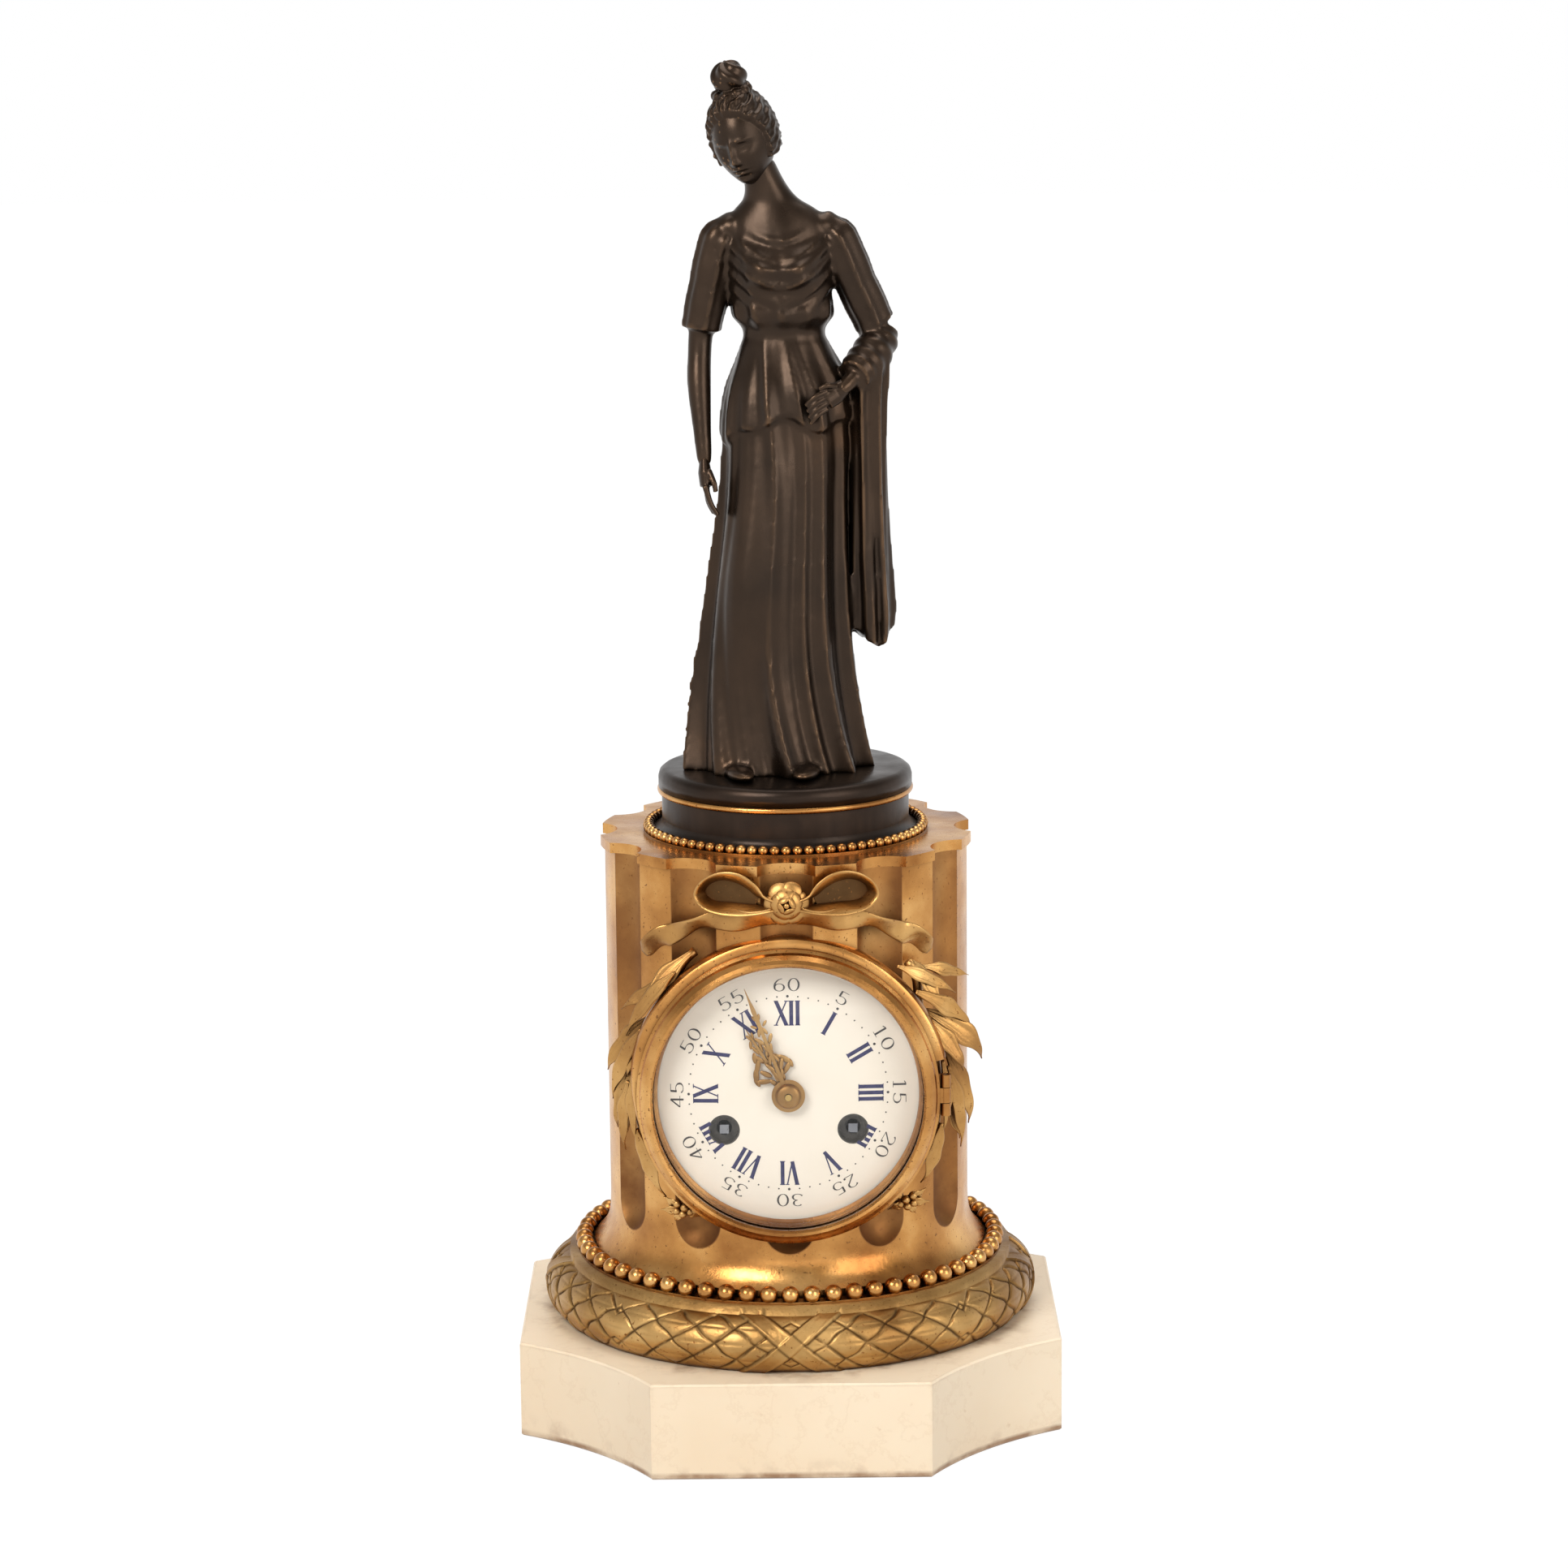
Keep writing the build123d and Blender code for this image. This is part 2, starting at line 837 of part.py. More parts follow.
def pin_bore(depth, radius):
    half = hinge_leaf / 2 + hinge_side_leaf + hinge_gap
    return Pos(hinge_x(), 0, depth) * (Rot(-90, 0, 0) * disc(radius, -half, half))


def moving_spans():
    return [(-hinge_leaf / 2, hinge_leaf / 2)]


def fixed_spans():
    low = hinge_leaf / 2 + hinge_gap
    high = low + hinge_side_leaf
    return [(low, high), (-high, -low)]


def hinge_cylinder(depth, span, radius):
    low, high = span
    return Pos(hinge_x(), 0, depth) * (Rot(-90, 0, 0) * disc(radius, low, high))


def front_drum():
    flange_back = drum_reach - flange_thickness
    ledge_back = ledge_front - ledge_thickness
    body = turned([
        (drum_inner, drum_rear_end),
        (drum_radius, drum_rear_end),
        (drum_radius, flange_back),
        (flange_radius, flange_back),
        (flange_radius, drum_reach),
        (drum_inner, drum_reach),
        (drum_inner, ledge_front),
        (ledge_inner, ledge_front),
        (ledge_inner, ledge_back),
        (drum_inner, ledge_back),
    ])
    root = flange_radius - hinge_root / 2
    body = body.fuse(*knuckles(hinge_x(), drum_reach, -hinge_web, fixed_spans(), root))
    body -= disc(drum_inner, ledge_front, drum_reach + cut_over)
    for span in moving_spans():
        grown = (span[0] - hinge_gap, span[1] + hinge_gap)
        body -= hinge_cylinder(drum_reach, grown, hinge_radius + hinge_gap)
    return in_movement(body - pin_bore(drum_reach, hinge_pin_radius + run_gap))


def bezel():
    width = bezel_radius - bezel_sight
    rabbet_radius = bezel_sight + bezel_lip
    rabbet_top = drum_reach + bezel_rabbet
    profile = [(rabbet_radius, drum_reach), (bezel_radius, drum_reach)]
    for out_share, rise_share in zip(bezel_width_shares, bezel_rise_shares):
        profile.append((bezel_sight + width * out_share, drum_reach + bezel_depth * rise_share))
    profile += [(bezel_sight, rabbet_top + bezel_lip), (bezel_sight, rabbet_top), (rabbet_radius, rabbet_top)]
    body = turned(profile)
    root = bezel_radius - hinge_root
    body = body.fuse(*knuckles(hinge_x(), drum_reach, hinge_web, moving_spans(), root))
    body -= disc(rabbet_radius, drum_reach - cut_over, rabbet_top)
    for span in fixed_spans():
        grown = (span[0] - hinge_gap, span[1] + hinge_gap)
        body -= hinge_cylinder(drum_reach, grown, hinge_radius + hinge_gap)
    return in_movement(body - pin_bore(drum_reach, hinge_pin_radius + run_gap))


def glass_radius():
    return bezel_sight + bezel_lip - fit_gap


def bezel_glass():
    # Domed pane with a flat rim that seats in the rabbet
    top = drum_reach + bezel_rabbet
    low = top - glass_thickness
    dome = bezel_sight - fit_gap
    sphere = (dome ** 2 + glass_rise ** 2) / (2 * glass_rise)
    ball = Pos(0, 0, top + glass_rise - sphere)
    shell = ball * Sphere(sphere) - ball * Sphere(sphere - glass_thickness)
    cap = shell & disc(dome, low, top + glass_rise + cut_over)
    rim = disc(glass_radius(), low, top) - disc(dome - glass_thickness, low - cut_over, top + cut_over)
    return in_movement(cap + rim)


def glass_retainer():
    top = drum_reach + bezel_rabbet - glass_thickness
    ring = disc(glass_radius(), top - retainer_depth, top)
    return in_movement(ring - disc(glass_radius() - retainer_width, drum_reach - cut_over, top + cut_over))


def hinge_pins():
    front = in_movement(pin_bore(drum_reach, hinge_pin_radius))
    rear = in_movement(pin_bore(-rear_reach, hinge_pin_radius))
    return Compound(children=[front, rear])


def winding_spots():
    going = polar(winding_circle, -winding_angle)
    return {"going": going, "strike": (-going[0], going[1])}


def foot_spots():
    return [polar(foot_circle, foot_first_angle + 360 * i / foot_count) for i in range(foot_count)]


def dial():
    rise = dial_dome
    sphere = (dial_radius ** 2 + rise ** 2) / (2 * rise)
    ball = Pos(0, 0, dial_front_center - sphere)
    shell = ball * Sphere(sphere) - ball * Sphere(sphere - dial_thickness)
    body = shell & disc(dial_radius, dial_back, dial_front_center + cut_over)
    body -= disc(dial_center_hole, dial_back - cut_over, dial_front_center + cut_over)
    for spot in winding_spots().values():
        body -= spot_disc(spot, winding_hole, dial_back - cut_over, dial_front_center + cut_over)
    return in_movement(body)


def dial_plate():
    body = disc(drum_inner - fit_gap, ledge_front, dial_back)
    for spot in foot_spots():
        body += spot_disc(spot, foot_radius, front_plate_face, dial_back)
    body -= disc(dial_plate_hole, ledge_front - cut_over, dial_back + cut_over)
    for spot in winding_spots().values():
        body -= spot_disc(spot, dial_plate_hole, ledge_front - cut_over, dial_back + cut_over)
    return in_movement(body)


def rear_drum():
    flange_low = -rear_reach + rear_flange_set_back
    flange_high = flange_low + rear_flange_thickness
    body = turned([
        (drum_inner, -drum_rear_end),
        (drum_radius, -drum_rear_end),
        (drum_radius, -rear_reach + flange_thickness),
        (flange_radius, -rear_reach + flange_thickness),
        (flange_radius, -rear_reach),
        (drum_inner, -rear_reach),
        (drum_inner, flange_low),
        (rear_flange_inner, flange_low),
        (rear_flange_inner, flange_high),
        (drum_inner, flange_high),
    ])
    root = flange_radius - hinge_root / 2
    body = body.fuse(*knuckles(hinge_x(), -rear_reach, hinge_web, fixed_spans(), root))
    for span in moving_spans():
        grown = (span[0] - hinge_gap, span[1] + hinge_gap)
        body -= hinge_cylinder(-rear_reach, grown, hinge_radius + hinge_gap)
    for side in (-1, 1):
        spot = (side * strap_screw_x(), 0)
        body -= spot_disc(spot, strap_screw_radius + fit_gap, flange_low - cut_over, flange_high + cut_over)
    return in_movement(body - pin_bore(-rear_reach, hinge_pin_radius + run_gap))


def rear_door():
    back = -rear_reach - door_thickness
    rim_back = back - door_rim_height
    rim_inner = bezel_radius - door_rim_width
    body = turned([
        (0, -rear_reach),
        (bezel_radius, -rear_reach),
        (bezel_radius, rim_back),
        (rim_inner, rim_back),
        (rim_inner, back),
        (0, back),
    ])
    knob_spot = (-knob_circle, 0)
    stem_end = back - knob_stem
    stem = spot_disc(knob_spot, knob_stem_radius, stem_end, -rear_reach - door_thickness / 2)
    ball = Pos(knob_spot[0], knob_spot[1], stem_end) * Sphere(knob_radius)
    root = bezel_radius - hinge_root
    body = body.fuse(stem, ball, *knuckles(hinge_x(), -rear_reach, -hinge_web, moving_spans(), root))
    for span in fixed_spans():
        grown = (span[0] - hinge_gap, span[1] + hinge_gap)
        body -= hinge_cylinder(-rear_reach, grown, hinge_radius + hinge_gap)
    return in_movement(body - pin_bore(-rear_reach, hinge_pin_radius + run_gap))


def strap_screw_x():
    return movement_radius + fit_gap + strap_thickness - strap_tab / 2 - strap_thickness / 2


def movement_straps():
    inner = movement_radius + fit_gap
    outer = inner + strap_thickness
    tab_inner = outer - strap_tab
    half = strap_width / 2
    front = front_plate_face + strap_tab_thickness
    rear_face = -rear_reach + rear_flange_set_back + rear_flange_thickness
    rear_tab = rear_face + strap_tab_thickness
    bar = slab((inner, -half, rear_face), (outer, half, front))
    front_tab = slab((tab_inner, -half, front_plate_face), (outer, half, front))
    end_tab = slab((tab_inner, -half, rear_face), (outer, half, rear_tab))
    strap = bar.fuse(front_tab, end_tab)
    spot = (strap_screw_x(), 0)
    strap -= spot_disc(spot, strap_screw_radius + run_gap, rear_face - cut_over, rear_tab + cut_over)
    strap -= spot_disc(spot, strap_screw_radius + run_gap, front_plate_face - cut_over, front + cut_over)
    return in_movement(Compound(children=[strap, Rot(0, 0, 180) * strap]))


def strap_screws():
    front = front_plate_face + strap_tab_thickness
    flange_low = -rear_reach + rear_flange_set_back
    tab_end = flange_low + rear_flange_thickness + strap_tab_thickness
    screws = []
    for side in (-1, 1):
        spot = (side * strap_screw_x(), 0)
        head = spot_disc(spot, strap_screw_head, front, front + strap_screw_head_height)
        bite = front_plate_face - strap_screw_bite
        shank = spot_disc(spot, strap_screw_radius, bite, front + strap_screw_head_height)
        screws.append(head + shank)
        head = spot_disc(spot, strap_screw_head, flange_low - strap_screw_head_height, flange_low)
        shank = spot_disc(spot, strap_screw_radius, flange_low - strap_screw_head_height, tab_end)
        screws.append(head + shank)
    return in_movement(Compound(children=screws))


def pitch_radius(teeth, module):
    return teeth * module / 2


def reach(teeth, mate_teeth, module):
    return pitch_radius(teeth + mate_teeth, module)


def train_spots():
    # Arbor places on the plates, worked out from the tooth numbers
    spots = dict(winding_spots())
    spots["center"] = (0, 0)
    spots["escape"] = (0, escape_rise)
    spots["anchor"] = (0, anchor_rise)
    spots["second"] = meeting(
        spots["going"], reach(great_teeth, second_pinion_teeth, great_module),
        spots["center"], reach(second_wheel_teeth, center_pinion_teeth, second_module), 1,
    )
    spots["third"] = meeting(
        spots["center"], reach(center_wheel_teeth, third_pinion_teeth, center_module),
        spots["escape"], reach(third_wheel_teeth, escape_pinion_teeth, third_module), -1,
    )
    strike_reach = reach(great_teeth, second_pinion_teeth, great_module)
    spots["strike_second"] = shifted(spots["strike"], strike_reach, strike_second_angle)
    pin_reach = reach(strike_second_teeth, pin_pinion_teeth, strike_module)
    spots["pin"] = shifted(spots["strike_second"], pin_reach, pin_angle)
    fly_spot_reach = reach(pin_wheel_teeth, fly_pinion_teeth, fly_module)
    spots["fly"] = shifted(spots["pin"], fly_spot_reach, fly_angle)
    spots["hammer"] = hammer_spot
    spots["minute"] = (0, -reach(cannon_teeth, minute_wheel_teeth, motion_module))
    return spots


def mating_phase(phase, teeth, angle, mate_teeth):
    # Turn of a mate whose gap meets a tooth of the driver along the line of centres
    offset = (phase - angle) / (360 / teeth) % 1
    return angle + 180 + (0.5 - offset) * 360 / mate_teeth


def toothed(teeth, module, shares, phase):
    pitch = 360 / teeth
    radius = pitch_radius(teeth, module)
    points = []
    for i in range(teeth):
        middle = phase + i * pitch
        for rise, half in shares:
            points.append(polar(radius + rise * module, middle - half * pitch))
        for rise, half in reversed(shares):
            points.append(polar(radius + rise * module, middle + half * pitch))
    return make_face(Polyline(*points, close=True))


def wheel(teeth, module, low, thickness, phase):
    body = Pos(0, 0, low) * extrude(toothed(teeth, module, wheel_tooth_shares, phase), thickness)
    radius = pitch_radius(teeth, module)
    if radius > crossing_least_radius:
        opening = spot_disc((radius * crossing_spot_share, 0), radius * crossing_size_share,
                            low - cut_over, low + thickness + cut_over)
        body = body.cut(*around(opening, crossing_count))
    return body


def pinion(teeth, module, low, phase):
    return Pos(0, 0, low) * extrude(toothed(teeth, module, pinion_tooth_shares, phase), pinion_length)


def plane_low(number):
    return first_plane - (number - 1) * plane_step


def pinion_low(number):
    return plane_low(number) + (wheel_thickness - pinion_length) / 2


def arbor(radius):
    body = disc(radius, back_plate_front + shoulder_gap, front_plate_back - shoulder_gap)
    return body + disc(pivot_radius, back_plate_face, front_plate_face)


def at_spot(name, shape):
    spot = train_spots()[name]
    return in_movement(Pos(spot[0], spot[1], 0) * shape)


def phases():
    # Tooth phases along both trains, starting from a barrel tooth on the x line
    spots = train_spots()
    turns = {}
    angle = bearing(spots["going"], spots["second"])
    turns["second_pinion"] = mating_phase(0, great_teeth, angle, second_pinion_teeth)
    angle = bearing(spots["second"], spots["center"])
    turns["center_pinion"] = mating_phase(0, second_wheel_teeth, angle, center_pinion_teeth)
    angle = bearing(spots["center"], spots["third"])
    turns["third_pinion"] = mating_phase(0, center_wheel_teeth, angle, third_pinion_teeth)
    angle = bearing(spots["third"], spots["escape"])
    turns["escape_pinion"] = mating_phase(0, third_wheel_teeth, angle, escape_pinion_teeth)
    angle = bearing(spots["strike"], spots["strike_second"])
    turns["strike_pinion"] = mating_phase(0, great_teeth, angle, second_pinion_teeth)
    angle = bearing(spots["strike_second"], spots["pin"])
    turns["pin_pinion"] = mating_phase(0, strike_second_teeth, angle, pin_pinion_teeth)
    angle = bearing(spots["pin"], spots["fly"])
    turns["fly_pinion"] = mating_phase(0, pin_wheel_teeth, angle, fly_pinion_teeth)
    turns["minute_wheel"] = mating_phase(0, cannon_teeth, -90, minute_wheel_teeth)
    turns["hour_wheel"] = mating_phase(0, minute_pinion_teeth, 90, hour_wheel_teeth)
    return turns


def barrel(name):
    bore = disc(winding_radius + run_gap, barrel_back - cut_over, barrel_front + cut_over)
    rim = toothed(great_teeth, great_module, wheel_tooth_shares, 0)
    great = Pos(0, 0, great_back) * extrude(rim, great_thickness)
    low = barrel_back + barrel_cover
    drum = disc(barrel_radius, low, great_back) - disc(barrel_radius - barrel_wall, low, great_back)
    return at_spot(name, great + drum - bore)


def barrel_cover_plate(name):
    cover = disc(barrel_radius, barrel_back, barrel_back + barrel_cover)
    return at_spot(name, cover - disc(winding_radius + run_gap, barrel_back - cut_over, barrel_front))


def mainspring(name):
    # Flat spiral strip from the arbor core out to the drum wall
    first = core_radius + spring_gap
    last = barrel_radius - barrel_wall - spring_gap - spring_thickness
    steps = spring_turns * 12
    inner = []
    outer = []
    for i in range(steps + 1):
        radius = first + (last - first) * i / steps
        inner.append(polar(radius, 30 * i))
        outer.append(polar(radius + spring_thickness, 30 * i))
    edges = [
        Spline(*inner),
        Line(inner[-1], outer[-1]),
        Spline(*outer),
        Line(outer[0], inner[0]),
    ]
    low = barrel_back + barrel_cover + core_gap
    high = great_back - core_gap
    print("mainspring least gap between turns", round((last - first) / spring_turns - spring_thickness, 3))
    return at_spot(name, Pos(0, 0, low) * extrude(make_face(edges), high - low))


def ratchet_outline():
    points = []
    for i in range(ratchet_teeth):
        points.append(polar(ratchet_root, 360 * i / ratchet_teeth))
        points.append(polar(ratchet_radius, 360 * i / ratchet_teeth))
    return make_face(Polyline(*points, close=True))


def winding_arbor(name, hand):
    core_low = barrel_back + barrel_cover + core_gap
    core = disc(core_radius, core_low, great_back - core_gap)
    low = front_plate_face + ratchet_lift
    top = low + ratchet_thickness
    journal = disc(winding_radius, back_plate_face, top)
    ratchet = Pos(0, 0, low) * extrude(ratchet_outline(), ratchet_thickness)
    if hand < 0:
        ratchet = mirror(ratchet, Plane.YZ)
    half = square_width / 2
    square = slab((-half, -half, top - ratchet_thickness / 2), (half, half, square_end))
    return at_spot(name, core.fuse(journal, ratchet, square))


def click_spot(name, hand):
    return shifted(winding_spots()[name], click_distance, 90 - hand * (90 - click_angle))


def click(name, hand):
    center = winding_spots()[name]
    spot = click_spot(name, hand)
    nose_reach = ratchet_radius + click_gap + click_nose
    nose = shifted(center, nose_reach, 90 - hand * (90 - click_nose_angle))
    low = front_plate_face + ratchet_lift
    high = low + click_thickness
    side = bearing(spot, nose) + 90
    outline = make_face(Polyline(
        shifted(spot, click_hub, side),
        shifted(nose, click_nose, side),
        shifted(nose, -click_nose, side),
        shifted(spot, -click_hub, side),
        close=True,
    ))
    body = Pos(0, 0, low) * extrude(outline, high - low)
    body = body.fuse(spot_disc(spot, click_hub, low, high), spot_disc(nose, click_nose, low, high))
    return in_movement(body - spot_disc(spot, click_stud_radius + run_gap, low - cut_over, high + cut_over))


def pillar_spots():
    angles = [pillar_angle, 180 - pillar_angle, 180 + pillar_angle, -pillar_angle]
    return [polar(pillar_circle, angle) for angle in angles]


def plain_pivots():
    return ["second", "third", "escape", "strike_second", "pin", "fly", "hammer"]


def front_plate():
    low = front_plate_back - cut_over
    high = front_plate_face + cut_over
    spots = train_spots()
    body = disc(movement_radius, front_plate_back, front_plate_face)
    holes = [spot_disc(spots[name], pivot_radius + run_gap, low, high) for name in plain_pivots()]
    holes.append(spot_disc(spots["anchor"], pivot_radius + run_gap, low, high))
    holes.append(spot_disc(spots["center"], center_post_radius + run_gap, low, high))
    holes += [spot_disc(spots[name], winding_radius + run_gap, low, high) for name in ("going", "strike")]
    holes += [spot_disc(spot, pillar_end_radius + run_gap, low, high) for spot in pillar_spots()]
    bite = front_plate_face - strap_screw_bite - run_gap
    screw_hole = strap_screw_radius + run_gap
    holes += [spot_disc((side * strap_screw_x(), 0), screw_hole, bite, high) for side in (-1, 1)]
    body = body.cut(*holes)
    stud_top = front_plate_face + motion_lift + motion_step + pinion_length + mesh_gap
    studs = [spot_disc(spots["minute"], minute_stud_radius, front_plate_back, stud_top)]
    click_top = front_plate_face + ratchet_lift + ratchet_thickness
    for name, hand in (("going", 1), ("strike", -1)):
        studs.append(spot_disc(click_spot(name, hand), click_stud_radius, front_plate_back, click_top))
    return in_movement(body.fuse(*studs))


def back_plate():
    low = back_plate_face - cut_over
    high = back_plate_front + cut_over
    spots = train_spots()
    body = disc(movement_radius, back_plate_face, back_plate_front)
    names = [name for name in plain_pivots() if name not in ("strike_second", "hammer")]
    holes = [spot_disc(spots[name], pivot_radius + run_gap, low, high) for name in names + ["center"]]
    holes.append(spot_disc(spots["anchor"], anchor_window, low, high))
    for name in ("strike_second", "hammer"):
        holes.append(spot_disc(spots[name], arbor_radius + run_gap, low, high))
    holes += [spot_disc(spots[name], winding_radius + run_gap, low, high) for name in ("going", "strike")]
    holes += [spot_disc(spot, pillar_end_radius + run_gap, low, high) for spot in pillar_spots()]
    return in_movement(body.cut(*holes))


def plate_pillars():
    pillars = []
    for spot in pillar_spots():
        body = spot_disc(spot, pillar_radius, back_plate_front, front_plate_back)
        front_end = front_plate_face + pillar_nut_height
        back_end = back_plate_face - pillar_nut_height
        body += spot_disc(spot, pillar_end_radius, back_end, front_end)
        body += spot_disc(spot, pillar_nut_radius, front_plate_face, front_end)
        body += spot_disc(spot, pillar_nut_radius, back_end, back_plate_face)
        pillars.append(body)
    return in_movement(Compound(children=pillars))


def going_second_wheel():
    turns = phases()
    pinion_place = great_back + (great_thickness - pinion_length) / 2
    body = arbor(arbor_radius).fuse(
        wheel(second_wheel_teeth, second_module, plane_low(1), wheel_thickness, 0),
        pinion(second_pinion_teeth, great_module, pinion_place, turns["second_pinion"]),
    )
    return at_spot("second", body)


def center_wheel():
    turns = phases()
    body = disc(arbor_radius, back_plate_front + shoulder_gap, front_plate_back - shoulder_gap)
    body = body.fuse(
        disc(pivot_radius, back_plate_face, back_plate_front + shoulder_gap),
        disc(center_post_radius, front_plate_back - shoulder_gap, center_front_end),
        pinion(center_pinion_teeth, second_module, pinion_low(1), turns["center_pinion"]),
        wheel(center_wheel_teeth, center_module, plane_low(2), wheel_thickness, 0),
    )
    return at_spot("center", body)


def third_wheel():
    body = arbor(slim_arbor_radius).fuse(
        pinion(third_pinion_teeth, center_module, pinion_low(2), phases()["third_pinion"]),
        wheel(third_wheel_teeth, third_module, plane_low(3), wheel_thickness, 0),
    )
    return at_spot("third", body)


def escape_wheel():
    points = []
    pitch = 360 / escape_teeth
    root = escape_radius - escape_depth
    for i in range(escape_teeth):
        points.append(polar(root, i * pitch))
        points.append(polar(escape_radius, (i + 0.15) * pitch))
        points.append(polar(escape_radius, (i + 0.3) * pitch))
    blank = Pos(0, 0, plane_low(4)) * extrude(make_face(Polyline(*points, close=True)), wheel_thickness)
    opening = spot_disc((escape_radius * crossing_spot_share, 0), escape_radius * crossing_size_share,
                        plane_low(4) - cut_over, plane_low(3))
    blank = blank.cut(*around(opening, crossing_count))
    escape_pinion = pinion(escape_pinion_teeth, third_module, pinion_low(3), phases()["escape_pinion"])
    body = arbor(slim_arbor_radius).fuse(blank, escape_pinion)
    return at_spot("escape", body)


def bar(start, end, width, low, high):
    # Flat bar with round ends between two places
    side = bearing(start, end) + 90
    outline = make_face(Polyline(
        shifted(start, width / 2, side),
        shifted(end, width / 2, side),
        shifted(end, -width / 2, side),
        shifted(start, -width / 2, side),
        close=True,
    ))
    body = Pos(0, 0, low) * extrude(outline, high - low)
    return body.fuse(spot_disc(start, width / 2, low, high), spot_disc(end, width / 2, low, high))


def anchor():
    # Anchor with its arbor and the crutch that hangs behind the back plate
    low = plane_low(4)
    high = low + wheel_thickness
    hub = (0, anchor_rise)
    pallet = escape_radius + anchor_arm / 2 + anchor_clear
    pieces = [spot_disc(hub, anchor_hub, low, high)]
    for angle in (90 - pallet_angle, 90 + pallet_angle):
        tip = shifted((0, escape_rise), pallet, angle)
        pieces.append(bar(hub, tip, anchor_arm, low, high))
        pieces.append(spot_disc(tip, pallet_reach, low, high))
    pieces.append(spot_disc(hub, arbor_radius, crutch_depth, front_plate_back - shoulder_gap))
    pieces.append(spot_disc(hub, pivot_radius, cock_depth - cock_thickness, front_plate_face))
    crutch_back = crutch_depth - crutch_thickness
    foot = (0, anchor_rise - crutch_length)
    pieces.append(bar(hub, foot, crutch_width, crutch_back, crutch_depth))
    prong = pendulum_rod_radius + crutch_fork_gap
    width = prong + crutch_fork_wall
    half = crutch_width / 2
    pieces.append(slab((-width, foot[1] - half, crutch_back), (width, foot[1] + half, crutch_depth)))
    back = pendulum_depth - pendulum_rod_radius * 2
    for side in (-1, 1):
        edges = sorted((side * prong, side * width))
        pieces.append(slab((edges[0], foot[1] - half, back), (edges[1], foot[1] + half, crutch_depth)))
    return in_movement(pieces[0].fuse(*pieces[1:]))


def back_cock():
    low = cock_depth - cock_thickness
    half = cock_width / 2
    bottom = anchor_rise - cock_height / 2
    body = slab((-half, bottom, low), (half, bottom + cock_height, cock_depth))
    post_spots = [(side * cock_post_spread, anchor_rise) for side in (-1, 1)]
    posts = [spot_disc(spot, cock_post, low, back_plate_face) for spot in post_spots]
    lug_bottom = anchor_rise + arbor_radius
    lug_end = pendulum_depth - suspension_width
    lug = slab((-lug_width / 2, lug_bottom, lug_end), (lug_width / 2, lug_bottom + lug_height, cock_depth))
    body = body.fuse(lug, *posts)
    slot_half = suspension_thickness / 2 + run_gap
    half_strip = suspension_width / 2 + run_gap
    slot = slab(
        (-slot_half, lug_bottom - cut_over, pendulum_depth - half_strip),
        (slot_half, lug_bottom + lug_height / 2, pendulum_depth + half_strip),
    )
    body -= slot
    pivot_hole = spot_disc((0, anchor_rise), pivot_radius + run_gap, low - cut_over, cock_depth + cut_over)
    return in_movement(body - pivot_hole)


def suspension_spring():
    half = suspension_thickness / 2
    half_strip = suspension_width / 2
    top = anchor_rise + arbor_radius + lug_height / 2 - run_gap
    low = anchor_rise - suspension_length
    strip = slab((-half, low, pendulum_depth - half_strip), (half, top, pendulum_depth + half_strip))
    return in_movement(strip)


def chop_top():
    return anchor_rise - suspension_length


def upright(radius, low, high):
    # Round bar along the movement's up direction, in the pendulum plane
    return Pos(0, low, pendulum_depth) * (Rot(-90, 0, 0) * disc(radius, 0, high - low))


def pendulum_rod():
    low = chop_top() - chop_height
    half = chop_width / 2
    half_deep = chop_depth / 2
    chops = slab((-half, low, pendulum_depth - half_deep), (half, chop_top(), pendulum_depth + half_deep))
    end = anchor_rise - bob_drop - bob_radius - rod_tail
    return in_movement(chops + upright(pendulum_rod_radius, end, low))


def pendulum_bob():
    # Lens shaped disc with a flat rim band
    half = bob_thickness / 2
    rim = bob_rim / 2
    out = bob_radius * bob_arc_share
    rise = half - (half - rim) * bob_fall_share
    arc_front = ThreePointArc((0, half), (out, rise), (bob_radius, rim))
    arc_back = ThreePointArc((bob_radius, -rim), (out, -rise), (0, -half))
    edges = [arc_front, Line((bob_radius, rim), (bob_radius, -rim)), arc_back, Line((0, -half), (0, half))]
    lens = Pos(0, anchor_rise - bob_drop, pendulum_depth) * turned_edges(edges)
    middle = anchor_rise - bob_drop
    hole = upright(pendulum_rod_radius + run_gap, middle - bob_radius * 2, middle + bob_radius * 2)
    return in_movement(lens - hole)


def rating_nut():
    top = anchor_rise - bob_drop - bob_radius - rating_nut_gap
    low = top - rating_nut_height
    nut = upright(rating_nut_radius, low, top)
    return in_movement(nut - upright(pendulum_rod_radius + run_gap, low - cut_over, top + cut_over))


def strike_second_wheel():
    # Second wheel of the strike with the count wheel behind the back plate
    pinion_place = great_back + (great_thickness - pinion_length) / 2
    count_high = back_plate_face - count_wheel_gap
    count_low = count_high - count_wheel_thickness
    count = disc(count_wheel_radius, count_low, count_high)
    notch = slab(
        (count_wheel_radius - count_notch_depth, -count_notch_width / 2, count_low - cut_over),
        (count_wheel_radius + cut_over, count_notch_width / 2, count_high + cut_over),
    )
    count = count.cut(*around(notch, count_notches))
    body = disc(arbor_radius, count_low, front_plate_back - shoulder_gap).fuse(
        disc(pivot_radius, front_plate_back - shoulder_gap, front_plate_face),
        count,
        wheel(strike_second_teeth, strike_module, plane_low(1), wheel_thickness, 0),
        pinion(second_pinion_teeth, great_module, pinion_place, phases()["strike_pinion"]),
    )
    return at_spot("strike_second", body)


